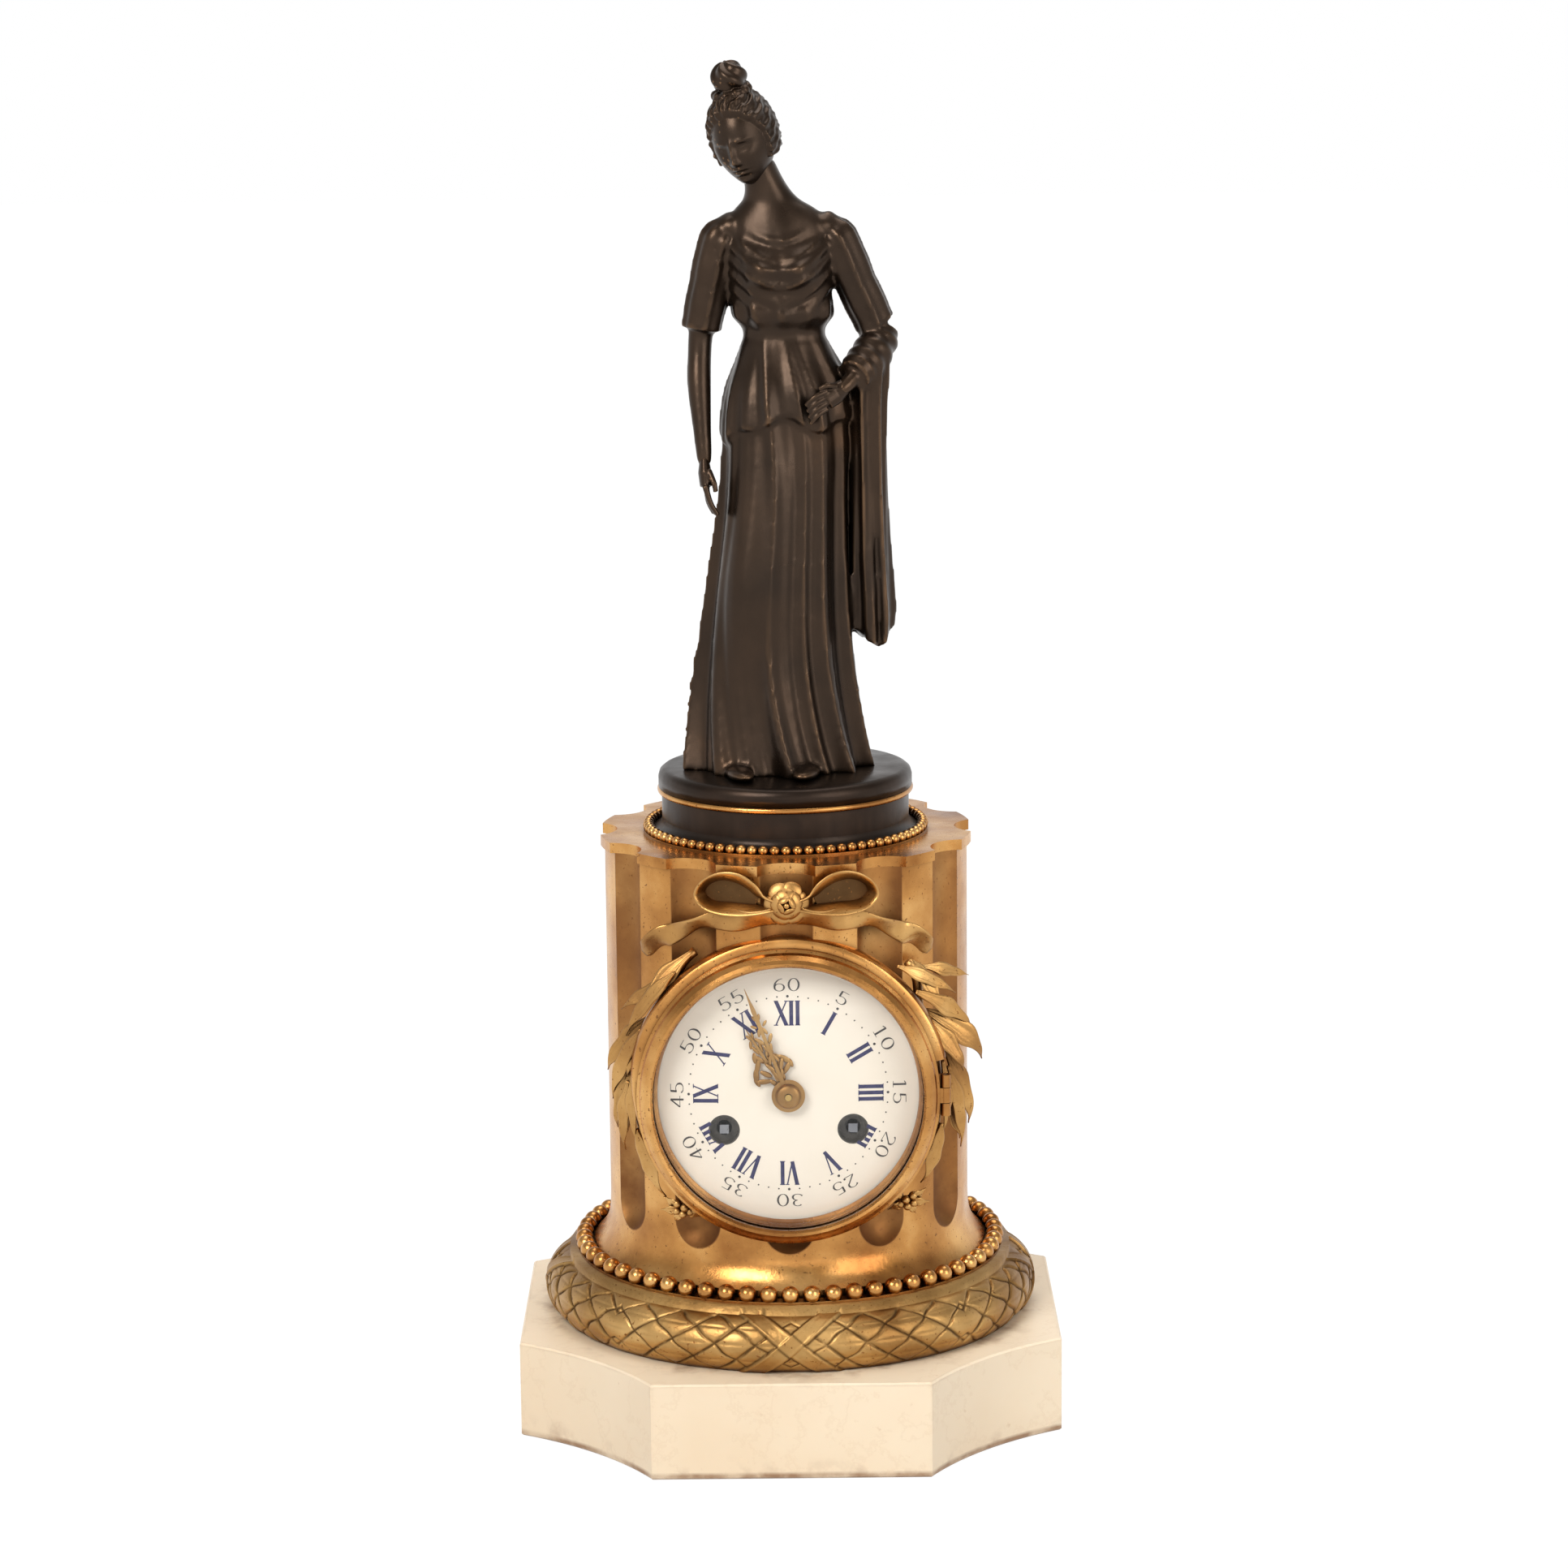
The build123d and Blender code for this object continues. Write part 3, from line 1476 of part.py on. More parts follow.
def pin_wheel():
    circle = pitch_radius(pin_wheel_teeth, fly_module) * pin_circle_share
    low = plane_low(2)
    face = low + wheel_thickness
    rim = toothed(pin_wheel_teeth, fly_module, wheel_tooth_shares, 0)
    blank = Pos(0, 0, low) * extrude(rim, wheel_thickness)
    pin = spot_disc((circle, 0), pin_radius, low, face + pin_length)
    leaves = pinion(pin_pinion_teeth, strike_module, pinion_low(1), phases()["pin_pinion"])
    body = arbor(arbor_radius).fuse(blank, leaves)
    return at_spot("pin", body.fuse(*around(pin, pin_count)))


def fly():
    high = plane_low(2) - shoulder_gap * 2
    half = fly_thickness / 2
    vane = slab((-fly_reach, -half, high - fly_height), (fly_reach, half, high))
    leaves = pinion(fly_pinion_teeth, fly_module, pinion_low(2), phases()["fly_pinion"])
    body = arbor(slim_arbor_radius).fuse(vane, leaves)
    return at_spot("fly", body)


def hammer():
    # Arbor through the plates, a tail by the pin wheel and an arm with the head at the bell rim
    spots = train_spots()
    low = hammer_depth - hammer_arm_thickness / 2
    high = low + hammer_arm_thickness
    head_spot = polar(bell_radius + hammer_gap + hammer_head_radius, hammer_angle)
    head_low = hammer_depth - hammer_head_length / 2
    tail_reach = math.dist(hammer_spot, spots["pin"]) - pitch_radius(pin_wheel_teeth, fly_module)
    tail_reach -= fly_module + hammer_tail_gap + hammer_tail_width / 2
    tail = shifted(hammer_spot, tail_reach, bearing(hammer_spot, spots["pin"]))
    pieces = [
        spot_disc(hammer_spot, pivot_radius, front_plate_back - shoulder_gap, front_plate_face),
        bar(hammer_spot, head_spot, hammer_arm_width, low, high),
        spot_disc(head_spot, hammer_head_radius, head_low, head_low + hammer_head_length),
        bar(hammer_spot, tail, hammer_tail_width, plane_low(2), plane_low(2) + wheel_thickness),
    ]
    shaft = spot_disc(hammer_spot, arbor_radius, low, front_plate_back - shoulder_gap)
    return in_movement(shaft.fuse(*pieces))


def bell():
    crown = bell_radius * bell_crown_share
    back = bell_rim_depth - bell_depth
    inner_back = back + bell_wall
    inner_radius = bell_radius - bell_wall
    inner_crown = crown - bell_wall / 2
    top_edge = crown * bell_middle_share
    inner_edge = inner_crown * bell_middle_share
    fall = bell_depth * bell_middle_share * bell_bulge_share
    outer_mid = (crown + (bell_radius - crown) * bell_bulge_share, bell_rim_depth - fall)
    inner_mid = (outer_mid[0] - bell_wall, outer_mid[1] + bell_wall / 2)
    bore = stand_stem_radius + run_gap
    edges = [
        Line((bore, back), (top_edge, back)),
        Spline((top_edge, back), outer_mid, (bell_radius, bell_rim_depth)),
        Line((bell_radius, bell_rim_depth), (inner_radius, bell_rim_depth)),
        Spline((inner_radius, bell_rim_depth), inner_mid, (inner_edge, inner_back)),
        Line((inner_edge, inner_back), (bore, inner_back)),
        Line((bore, inner_back), (bore, back)),
    ]
    return in_movement(turned_edges(edges))


def bell_stand():
    arm_low = bell_rim_depth + stand_arm_gap
    arm_high = arm_low + stand_arm_thickness
    inner_back = bell_rim_depth - bell_depth + bell_wall
    end = bell_rim_depth - bell_depth - stand_nut_height
    pieces = [
        spot_disc(stand_spot, stand_radius, arm_low, back_plate_face),
        spot_disc(stand_spot, stand_foot_radius, back_plate_face - stand_foot_height, back_plate_face),
        spot_disc((0, 0), stand_collar_radius, inner_back, arm_low),
        spot_disc((0, 0), stand_stem_radius, end, arm_low),
        spot_disc((0, 0), stand_nut_radius, end, end + stand_nut_height),
    ]
    arm = bar(stand_spot, (0, 0), stand_arm_width, arm_low, arm_high)
    return in_movement(arm.fuse(*pieces))


def motion_low():
    return front_plate_face + motion_lift


def hour_module():
    return motion_module * (cannon_teeth + minute_wheel_teeth) / (minute_pinion_teeth + hour_wheel_teeth)


def minute_hand_low():
    return dial_front_center + hand_lift + hand_thickness + hand_step


def cannon_pinion():
    low = motion_low()
    body = pinion(cannon_teeth, motion_module, low, 0).fuse(disc(cannon_pipe, low, minute_hand_low()))
    bore = disc(center_post_radius + run_gap, low - cut_over, minute_hand_low() + cut_over)
    return at_spot("center", body - bore)


def minute_wheel():
    low = motion_low()
    turns = phases()
    body = wheel(minute_wheel_teeth, motion_module, low, wheel_thickness, turns["minute_wheel"])
    pinion_place = low + motion_step - wheel_thickness
    pinion_piece = pinion(minute_pinion_teeth, hour_module(), pinion_place, 0)
    hub = disc(minute_stud_radius * 2, low, pinion_place + wheel_thickness)
    bore = disc(minute_stud_radius + run_gap, low - cut_over, pinion_place + pinion_length + cut_over)
    return at_spot("minute", body.fuse(pinion_piece, hub) - bore)


def hour_wheel():
    low = motion_low() + motion_step - shoulder_gap
    body = wheel(hour_wheel_teeth, hour_module(), low, wheel_thickness, phases()["hour_wheel"])
    body += disc(hour_pipe, low, dial_front_center + hand_lift + hand_thickness)
    bore = disc(cannon_pipe + run_gap, low - cut_over, dial_front_center + cut_over)
    return at_spot("center", body - bore)


def hand(length, along_shares, half_shares, eyes, hub, bore, low, turn):
    # Flat pierced hand pointing up before it is set to its time
    side = [(half * length, along * length) for along, half in zip(along_shares, half_shares)]
    outline = side + [(0, length)] + [(-x, y) for x, y in reversed(side)]
    blade = Pos(0, 0, low) * extrude(make_face(Polyline(*outline, close=True)), hand_thickness)
    body = blade + disc(hub, low, low + hand_thickness)
    for along, size in eyes:
        for spread in (-1, 1):
            spot = (spread * size * length * eye_spread_share, along * length)
            body -= spot_disc(spot, size * length * eye_radius_share, low - cut_over, low + cut_over)
    body -= disc(bore, low - cut_over, low + hand_thickness + cut_over)
    return Rot(0, 0, turn) * body


def hour_hand():
    low = dial_front_center + hand_lift
    bore = hour_pipe + run_gap
    sizes = (hour_hand_length, hour_along_shares, hour_half_shares, hour_eye_shares, hour_hub)
    return at_spot("center", hand(*sizes, bore, low, hour_set))


def minute_hand():
    # Minute hand with its turned boss
    low = minute_hand_low()
    bore = center_post_radius + run_gap
    sizes = (minute_hand_length, minute_along_shares, minute_half_shares, minute_eye_shares, minute_hub)
    blade = hand(*sizes, bore, low, minute_set)
    top = low + hand_thickness
    boss = turned([
        (bore, top),
        (collet_radius, top),
        (collet_radius * collet_shoulder_share, top + collet_height * collet_shoulder_rise_share),
        (collet_radius * collet_crown_share, top + collet_height),
        (bore, top + collet_height),
    ])
    seat = disc(collet_radius, low, top) - disc(bore, low - cut_over, top + cut_over)
    return at_spot("center", blade.fuse(boss, seat))


def bow_plane(side):
    # Plane that touches the column front on the rib beside the middle flute
    turn = math.radians(side * bow_lean)
    out = Vector(math.sin(turn), 0, math.cos(turn))
    touch = out * (column_radius + fit_gap + run_gap)
    return Plane(origin=(touch.X, bow_rise, touch.Z), x_dir=(math.cos(turn), 0, -math.sin(turn)), z_dir=out)


def bow_loop():
    inner_width = loop_half_width - bow_wall
    inner_height = loop_half_height - bow_wall
    band = extrude(Ellipse(loop_half_width, loop_half_height), bow_relief)
    return band - extrude(Ellipse(inner_width, inner_height), bow_relief + cut_over)


def bow_tail(side):
    corners = [(side * along * tail_length, -down * tail_length) for along, down in tail_shares]
    pieces = [bar(first, last, tail_width, 0, tail_relief) for first, last in zip(corners, corners[1:])]
    return pieces[0].fuse(*pieces[1:])


def ribbon_bow():
    # Two loops, two tails and a rosette on one peg
    face = column_radius + fit_gap + run_gap
    spot = (0, bow_rise)
    petals = []
    for i in range(rosette_petals):
        place = shifted(spot, rosette_radius - petal_radius, 360 * i / rosette_petals)
        petals.append(Pos(place[0], place[1], face + petal_radius) * Sphere(petal_radius))
    core = Pos(0, bow_rise, face + petal_radius) * Sphere(rosette_core)
    button = spot_disc(spot, rosette_radius - petal_radius / 2, face, face + petal_radius)
    peg = spot_disc(spot, bow_peg_radius, face - bow_peg_length, face + petal_radius)
    pieces = [core, peg] + petals
    for side in (-1, 1):
        pieces.append(bow_plane(side) * bow_loop())
        pieces.append(bow_plane(side) * bow_tail(side))
    return in_movement(button.fuse(*pieces))


def leaf_outline():
    half = leaf_width / 2
    belly = leaf_length * leaf_belly_share
    upper = ThreePointArc((0, 0), (belly, half), (leaf_length, 0))
    lower = ThreePointArc((leaf_length, 0), (belly, -half), (0, 0))
    return make_face([upper, lower])


def laurel_right():
    # Curved stem along the drum side with leaves leaning out and berries at the foot
    circle = drum_radius + mesh_gap + laurel_stem_radius
    start = polar(circle, laurel_top_angle)
    middle = polar(circle, (laurel_top_angle + laurel_foot_angle) / 2)
    end = polar(circle, laurel_foot_angle)
    path = Pos(0, 0, laurel_depth) * ThreePointArc(start, middle, end)
    section = Plane(origin=path @ 0, z_dir=path % 0) * Circle(laurel_stem_radius)
    pieces = []
    for i in range(leaf_rows):
        share = i / leaf_rows
        angle = laurel_top_angle + (laurel_foot_angle - laurel_top_angle) * share
        root = polar(circle, angle)
        out = Vector(*polar(1, angle), 0)
        along = Vector(*polar(1, angle - 90), 0)
        for lift in (-1, 1):
            forward = Vector(0, 0, lift * leaf_lift_share)
            axis = out * leaf_out_share + along * leaf_along_share + forward
            face_up = Vector(0, 0, 1) - axis.normalized() * axis.normalized().Z
            place = Plane(origin=(root[0], root[1], laurel_depth), x_dir=axis, z_dir=face_up)
            pieces.append(place * (Pos(0, 0, -leaf_thickness / 2) * extrude(leaf_outline(), leaf_thickness)))
    foot = polar(circle, laurel_foot_angle)
    spread = berry_radius * berry_gap_share
    for angle in berry_angles:
        spot = shifted(foot, spread, laurel_foot_angle + angle)
        if math.hypot(*spot) > circle:
            pieces.append(Pos(spot[0], spot[1], laurel_depth + laurel_stem_radius) * Sphere(berry_radius))
    stem = sweep(section, path=path)
    return in_movement(stem.fuse(*pieces))


def laurel_left():
    return mirror(laurel_right(), Plane.YZ)


def pieces():
    nodes = {
        "plinth": plinth(),
        "base_bolts": base_bolts(),
        "torus_base": torus_base(),
        "lower_bead_ring": lower_bead_ring(),
        "column": column(),
        "top_plate": top_plate(),
        "top_plate_screws": top_plate_screws(),
        "upper_bead_ring": upper_bead_ring(),
        "socle": socle(),
        "socle_fillet": socle_fillet(),
        "figure": figure(),
        "figure_clamp": figure_clamp(),
        "front_drum": front_drum(),
        "ribbon_bow": ribbon_bow(),
        "laurel_left": laurel_left(),
        "laurel_right": laurel_right(),
        "bezel": bezel(),
        "bezel_glass": bezel_glass(),
        "glass_retainer": glass_retainer(),
        "hinge_pins": hinge_pins(),
        "rear_drum": rear_drum(),
        "rear_door": rear_door(),
        "dial": dial(),
        "dial_plate": dial_plate(),
        "hour_hand": hour_hand(),
        "minute_hand": minute_hand(),
        "front_plate": front_plate(),
        "back_plate": back_plate(),
        "plate_pillars": plate_pillars(),
        "movement_straps": movement_straps(),
        "strap_screws": strap_screws(),
        "going_second_wheel": going_second_wheel(),
        "center_wheel": center_wheel(),
        "third_wheel": third_wheel(),
        "escape_wheel": escape_wheel(),
        "anchor": anchor(),
        "back_cock": back_cock(),
        "suspension_spring": suspension_spring(),
        "pendulum_rod": pendulum_rod(),
        "pendulum_bob": pendulum_bob(),
        "rating_nut": rating_nut(),
        "strike_second_wheel": strike_second_wheel(),
        "pin_wheel": pin_wheel(),
        "fly": fly(),
        "hammer": hammer(),
        "bell": bell(),
        "bell_stand": bell_stand(),
        "cannon_pinion": cannon_pinion(),
        "minute_wheel": minute_wheel(),
        "hour_wheel": hour_wheel(),
    }
    for name, hand_side in (("going", 1), ("strike", -1)):
        nodes[name + "_barrel"] = barrel(name)
        nodes[name + "_barrel_cover"] = barrel_cover_plate(name)
        nodes[name + "_mainspring"] = mainspring(name)
        nodes[name + "_arbor"] = winding_arbor(name, hand_side)
        nodes[name + "_click"] = click(name, hand_side)
    return nodes


os.makedirs("parts", exist_ok=True)
for node, shape in pieces().items():
    save(node, shape)
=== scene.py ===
import bpy
import bmesh
import json
import math
from mathutils import Matrix, Vector, noise


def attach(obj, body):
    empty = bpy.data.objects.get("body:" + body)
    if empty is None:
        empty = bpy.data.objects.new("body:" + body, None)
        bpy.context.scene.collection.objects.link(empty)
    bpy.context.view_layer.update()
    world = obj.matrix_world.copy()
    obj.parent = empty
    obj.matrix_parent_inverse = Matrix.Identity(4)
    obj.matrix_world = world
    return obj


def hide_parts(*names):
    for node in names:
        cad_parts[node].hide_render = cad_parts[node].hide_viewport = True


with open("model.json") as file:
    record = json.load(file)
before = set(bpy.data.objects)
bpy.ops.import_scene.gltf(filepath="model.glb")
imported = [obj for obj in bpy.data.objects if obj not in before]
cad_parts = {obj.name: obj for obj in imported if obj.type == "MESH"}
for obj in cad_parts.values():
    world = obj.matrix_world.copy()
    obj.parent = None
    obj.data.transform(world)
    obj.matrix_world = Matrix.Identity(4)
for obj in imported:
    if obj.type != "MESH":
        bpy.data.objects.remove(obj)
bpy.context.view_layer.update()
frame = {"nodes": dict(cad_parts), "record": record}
mm = 0.001
fullTurn = 2 * math.pi
nodes = frame["nodes"]
print("stage: frame loaded")


def lerp(a, b, t):
    return a + (b - a) * t


def smooth(low, high, x):
    t = min(1.0, max(0.0, (x - low) / (high - low)))
    return t * t * (3 - 2 * t)


def bump(x, middle, width):
    return math.exp(-((x - middle) / width) ** 2)


def circle(count):
    return [fullTurn * i / count for i in range(count)]


def along(table, x):
    # smooth curve through (x, value, value...) rows
    last = len(table) - 1
    k = next((i for i in range(last - 1) if x <= table[i + 1][0]), last - 1)
    before, low, high, after = table[max(k - 1, 0)], table[k], table[k + 1], table[min(k + 2, last)]
    span = high[0] - low[0]
    t = min(1.0, max(0.0, (x - low[0]) / span))
    values = []
    for p, q, r, s in zip(before[1:], low[1:], high[1:], after[1:]):
        leave = (r - p) / (high[0] - before[0]) * span
        arrive = (s - q) / (after[0] - low[0]) * span
        values.append(lerp(q, r, t * t * (3 - 2 * t)) + leave * t * (1 - t) ** 2 - arrive * t * t * (1 - t))
    return values


# materials

def newMaterial(name):
    mat = bpy.data.materials.new(name)
    mat.use_nodes = True
    return mat, mat.node_tree, mat.node_tree.nodes["Principled BSDF"]


def setInputs(tree, node, values):
    # constants sit on the sockets, other nodes' outputs are linked to them
    for key, value in values.items():
        if isinstance(value, bpy.types.NodeSocket):
            tree.links.new(value, node.inputs[key])
        else:
            node.inputs[key].default_value = value


def addNode(tree, kind, values=None, **props):
    node = tree.nodes.new(kind)
    for key, value in props.items():
        setattr(node, key, value)
    setInputs(tree, node, values or {})
    return node


def coords(tree):
    return addNode(tree, "ShaderNodeTexCoord").outputs["Object"]


def splitXyz(tree, vector):
    return addNode(tree, "ShaderNodeSeparateXYZ", {"Vector": vector}).outputs


def noiseFac(tree, scale, detail=4.0, rough=0.55):
    values = {"Vector": coords(tree), "Scale": scale, "Detail": detail, "Roughness": rough}
    return addNode(tree, "ShaderNodeTexNoise", values).outputs["Fac"]


def ramp(tree, fac, stops):
    node = addNode(tree, "ShaderNodeValToRGB", {"Fac": fac})
    elements = node.color_ramp.elements
    while len(elements) < len(stops):
        elements.new(0.5)
    for element, (place, color) in zip(elements, stops):
        element.position = place
        element.color = (*color, 1.0)
    return node.outputs["Color"]


def grey(value):
    return (value, value, value)


def greyRamp(tree, fac, *stops):
    return ramp(tree, fac, [(place, grey(value)) for place, value in stops])


def mixColor(tree, fac, a, b, blend="MIX"):
    # sockets 6 and 7 take the two colours
    a, b = (value if isinstance(value, bpy.types.NodeSocket) else (*value, 1.0) for value in (a, b))
    return addNode(tree, "ShaderNodeMix", {0: fac, 6: a, 7: b}, data_type="RGBA", blend_type=blend).outputs[2]


def multiply(tree, a, b):
    return mixColor(tree, 1.0, a, b, "MULTIPLY")


def cavity(tree, distance, samples=6, inside=False):
    values = {"Distance": distance}
    return addNode(tree, "ShaderNodeAmbientOcclusion", values, samples=samples, inside=inside).outputs["AO"]


def bumpNormal(tree, height, strength, depth=0.0004):
    values = {"Height": height, "Strength": strength, "Distance": depth}
    return addNode(tree, "ShaderNodeBump", values).outputs["Normal"]


def mathNode(tree, operation, *values):
    return addNode(tree, "ShaderNodeMath", dict(enumerate(values)), operation=operation).outputs["Value"]


def mapRange(tree, value, low, high, toLow=0.0, toHigh=1.0):
    values = {"Value": value, "From Min": low, "From Max": high, "To Min": toLow, "To Max": toHigh}
    return addNode(tree, "ShaderNodeMapRange", values).outputs["Result"]


def lengthOf(tree, x, y, z):
    join = addNode(tree, "ShaderNodeCombineXYZ", {0: x, 1: y, 2: z}).outputs["Vector"]
    return addNode(tree, "ShaderNodeVectorMath", {0: join}, operation="LENGTH").outputs["Value"]


def surfaceMix(tree, fac, first, second):
    mix = addNode(tree, "ShaderNodeMixShader", {0: fac, 1: first, 2: second})
    tree.links.new(mix.outputs["Shader"], tree.nodes["Material Output"].inputs["Surface"])


fluteShape = {
    "step": math.pi / 6, "circle": 0.068194, "size": 0.011194, "low": 0.0765, "edge": (0.0004, 0.0001),
    "outer": (6e-6, -1.2e-5, 0.45, 0.95), "fade": (0.080, 0.110),
}


def fluteFac(tree):
    # painted shade inside the round channels, which repeat about the column's axis: full at their lower ends, weaker
    # higher up, in patches
    x, y, z = splitXyz(tree, coords(tree))
    half = fluteShape["step"] / 2
    turn = mathNode(tree, "WRAP", mathNode(tree, "ARCTAN2", y, x), half, -half)
    reach = lengthOf(tree, x, y, 0.0)
    ahead = mathNode(tree, "MULTIPLY", reach, mathNode(tree, "COSINE", turn))
    out = mathNode(tree, "SUBTRACT", ahead, fluteShape["circle"])
    side = mathNode(tree, "MULTIPLY", reach, mathNode(tree, "SINE", turn))
    below = mathNode(tree, "MINIMUM", mathNode(tree, "SUBTRACT", z, fluteShape["low"]), 0.0)
    away = lengthOf(tree, out, side, below)
    edge = mapRange(tree, away, *(fluteShape["size"] + margin for margin in fluteShape["edge"]))
    patch = greyRamp(tree, noiseFac(tree, 70.0, 5.0), (0.3, 0.6), (0.65, 1.0))
    # higher up, the painted shade stays darker on the wall that faces away from the front
    flankShade = mathNode(tree, "MULTIPLY", mathNode(tree, "MULTIPLY", x, y), side)
    outer = mapRange(tree, flankShade, *fluteShape["outer"])
    fade = mapRange(tree, z, *fluteShape["fade"], 1.0, outer)
    return multiply(tree, edge, multiply(tree, fade, patch))


# mask of the painted shade in hollows: the flutes' from their shape, the torus grooves' from its mesh attribute
def hollowFac(tree, kind):
    if kind == "flutes":
        return fluteFac(tree)
    return addNode(tree, "ShaderNodeAttribute", attribute_name=kind).outputs["Fac"]


def seenFac(tree):
    # 1 for what the camera sees, straight, in metal or through glass
    rays = addNode(tree, "ShaderNodeLightPath").outputs
    direct = mathNode(tree, "MAXIMUM", rays["Is Camera Ray"], rays["Is Glossy Ray"])
    return mathNode(tree, "MAXIMUM", direct, rays["Is Transmission Ray"])


def metalMaterial(name, look):
    mat, tree, bsdf = newMaterial(name)
    tones = [(0.33, look["deep"]), (0.51, look["mid"]), (0.72, look["light"])]
    cloud = ramp(tree, noiseFac(tree, look["cloud"], 6.0), tones)
    spots = greyRamp(tree, noiseFac(tree, look["spot"], 2.0), (look["spotEdge"], 1), (look["spotEdge"] + 0.06, 0))
    worn = mixColor(tree, spots, cloud, look["stain"])
    # painted shade: the colour goes toward the recess colour where ambient occlusion finds surfaces close by
    recessShade = greyRamp(tree, cavity(tree, look["cavity"]), (0.25, 1), (0.85, 0))
    color = mixColor(tree, recessShade, worn, look["recess"])
    low, high = look["rough"]
    rough = greyRamp(tree, noiseFac(tree, look["cloud"] * 3, 5.0), (0.3, low), (0.75, high))
    # painted shade in the hollows that the look chooses, toward the hollow colour
    if look["grooveShade"]:
        hollow = hollowFac(tree, look["grooveShade"])
        color = mixColor(tree, hollow, color, look["hollow"])
        rough = mixColor(tree, hollow, rough, grey(look["hollowRough"]))
    normal = bumpNormal(tree, noiseFac(tree, look["grain"], 6.0), look["bump"])
    setInputs(tree, bsdf, {"Base Color": color, "Roughness": rough, "Metallic": look["metallic"], "Normal": normal})
    return mat


# the recess colour is painted shade in recesses, as far as the cavity distance reaches; the hollow colour is painted
# shade in the flutes and the torus grooves
giltLook = {
    "deep": (0.31, 0.125, 0.034), "mid": (0.55, 0.265, 0.078), "light": (0.84, 0.50, 0.185),
    "stain": (0.24, 0.105, 0.034), "recess": (0.11, 0.048, 0.016), "hollow": (0.21, 0.09, 0.032),
    "cloud": 30.0, "spot": 900.0, "spotEdge": 0.29, "cavity": 0.005, "rough": (0.20, 0.36), "metallic": 1.0,
    "grain": 700.0, "bump": 0.12, "grooveShade": None, "hollowRough": 0.58,
}
fluteLook = dict(giltLook, grooveShade="flutes", cavity=0.003)
# on the torus the hollow colour is the near-black painted shade in the lattice grooves and beside the ribbons
matteGiltLook = dict(
    giltLook, deep=(0.26, 0.13, 0.040), mid=(0.42, 0.24, 0.082), light=(0.61, 0.38, 0.145), rough=(0.34, 0.50),
    bump=0.3, cavity=0.0022, hollow=(0.06, 0.03, 0.011), grooveShade="grooveShade")
leafLook = dict(
    giltLook, deep=(0.31, 0.15, 0.05), mid=(0.50, 0.27, 0.088), light=(0.76, 0.47, 0.18), rough=(0.30, 0.46),
    bump=0.3, cavity=0.010)
brassLook = dict(
    giltLook, deep=(0.50, 0.33, 0.11), mid=(0.68, 0.48, 0.18), light=(0.80, 0.60, 0.27), stain=(0.42, 0.25, 0.08),
    recess=(0.22, 0.12, 0.04), rough=(0.22, 0.32), bump=0.05)
bellLook = dict(brassLook, mid=(0.60, 0.46, 0.22), light=(0.70, 0.56, 0.30), rough=(0.25, 0.4))
steelLook = dict(
    giltLook, deep=(0.20, 0.21, 0.24), mid=(0.33, 0.34, 0.37), light=(0.45, 0.46, 0.49), stain=(0.12, 0.10, 0.09),
    recess=(0.07, 0.07, 0.08), rough=(0.25, 0.4), bump=0.05)
handLook = dict(
    giltLook, deep=(0.26, 0.14, 0.05), mid=(0.44, 0.26, 0.10), light=(0.62, 0.41, 0.18), rough=(0.35, 0.5),
    cavity=0.0008)
# near-black gilt for the painted shade inside the bow's loops
loopShadeLook = dict(
    giltLook, deep=(0.05, 0.028, 0.014), mid=(0.09, 0.048, 0.02), light=(0.16, 0.085, 0.034), rough=(0.45, 0.6))


def bronzeMaterial(name, look):
    # dark patina, browner where it is rubbed
    mat, tree, bsdf = newMaterial(name)
    tones = [(0.3, look["dark"]), (0.62, look["brown"]), (0.85, look["warm"])]
    cloud = ramp(tree, noiseFac(tree, look["cloud"], 6.0), tones)
    edge = addNode(tree, "ShaderNodeNewGeometry").outputs["Pointiness"]
    rub = greyRamp(tree, edge, (look["rubLow"], 0), (look["rubHigh"], 1))
    patch = greyRamp(tree, noiseFac(tree, look["patch"], 3.0), (0.35, 0.25), (0.7, 1))
    color = mixColor(tree, multiply(tree, rub, patch), cloud, look["rubbed"])
    # painted shade in the folds and recesses, toward the recess colour
    recessShade = greyRamp(tree, cavity(tree, look["cavity"]), (0.2, 1), (0.8, 0))
    color = mixColor(tree, recessShade, color, look["recess"])
    low, high = look["rough"]
    rough = greyRamp(tree, noiseFac(tree, look["fine"], 4.0), (0.3, low), (0.75, high))
    normal = bumpNormal(tree, noiseFac(tree, look["grain"], 5.0), look["bump"])
    setInputs(tree, bsdf, {"Base Color": color, "Roughness": rough, "Metallic": look["metallic"], "Normal": normal})
    return mat


bronzeLook = {
    "dark": (0.030, 0.020, 0.014), "brown": (0.050, 0.031, 0.020), "warm": (0.095, 0.049, 0.024),
    "rubbed": (0.22, 0.125, 0.065), "recess": (0.012, 0.008, 0.005), "rubLow": 0.515, "rubHigh": 0.58,
    "cloud": 26.0, "patch": 60.0, "fine": 90.0, "grain": 420.0, "cavity": 0.006, "rough": (0.26, 0.42),
    "metallic": 0.85, "bump": 0.10,
}
socleLook = dict(
    bronzeLook, dark=(0.016, 0.011, 0.009), brown=(0.026, 0.017, 0.012), warm=(0.045, 0.025, 0.015),
    rubbed=(0.05, 0.03, 0.02))


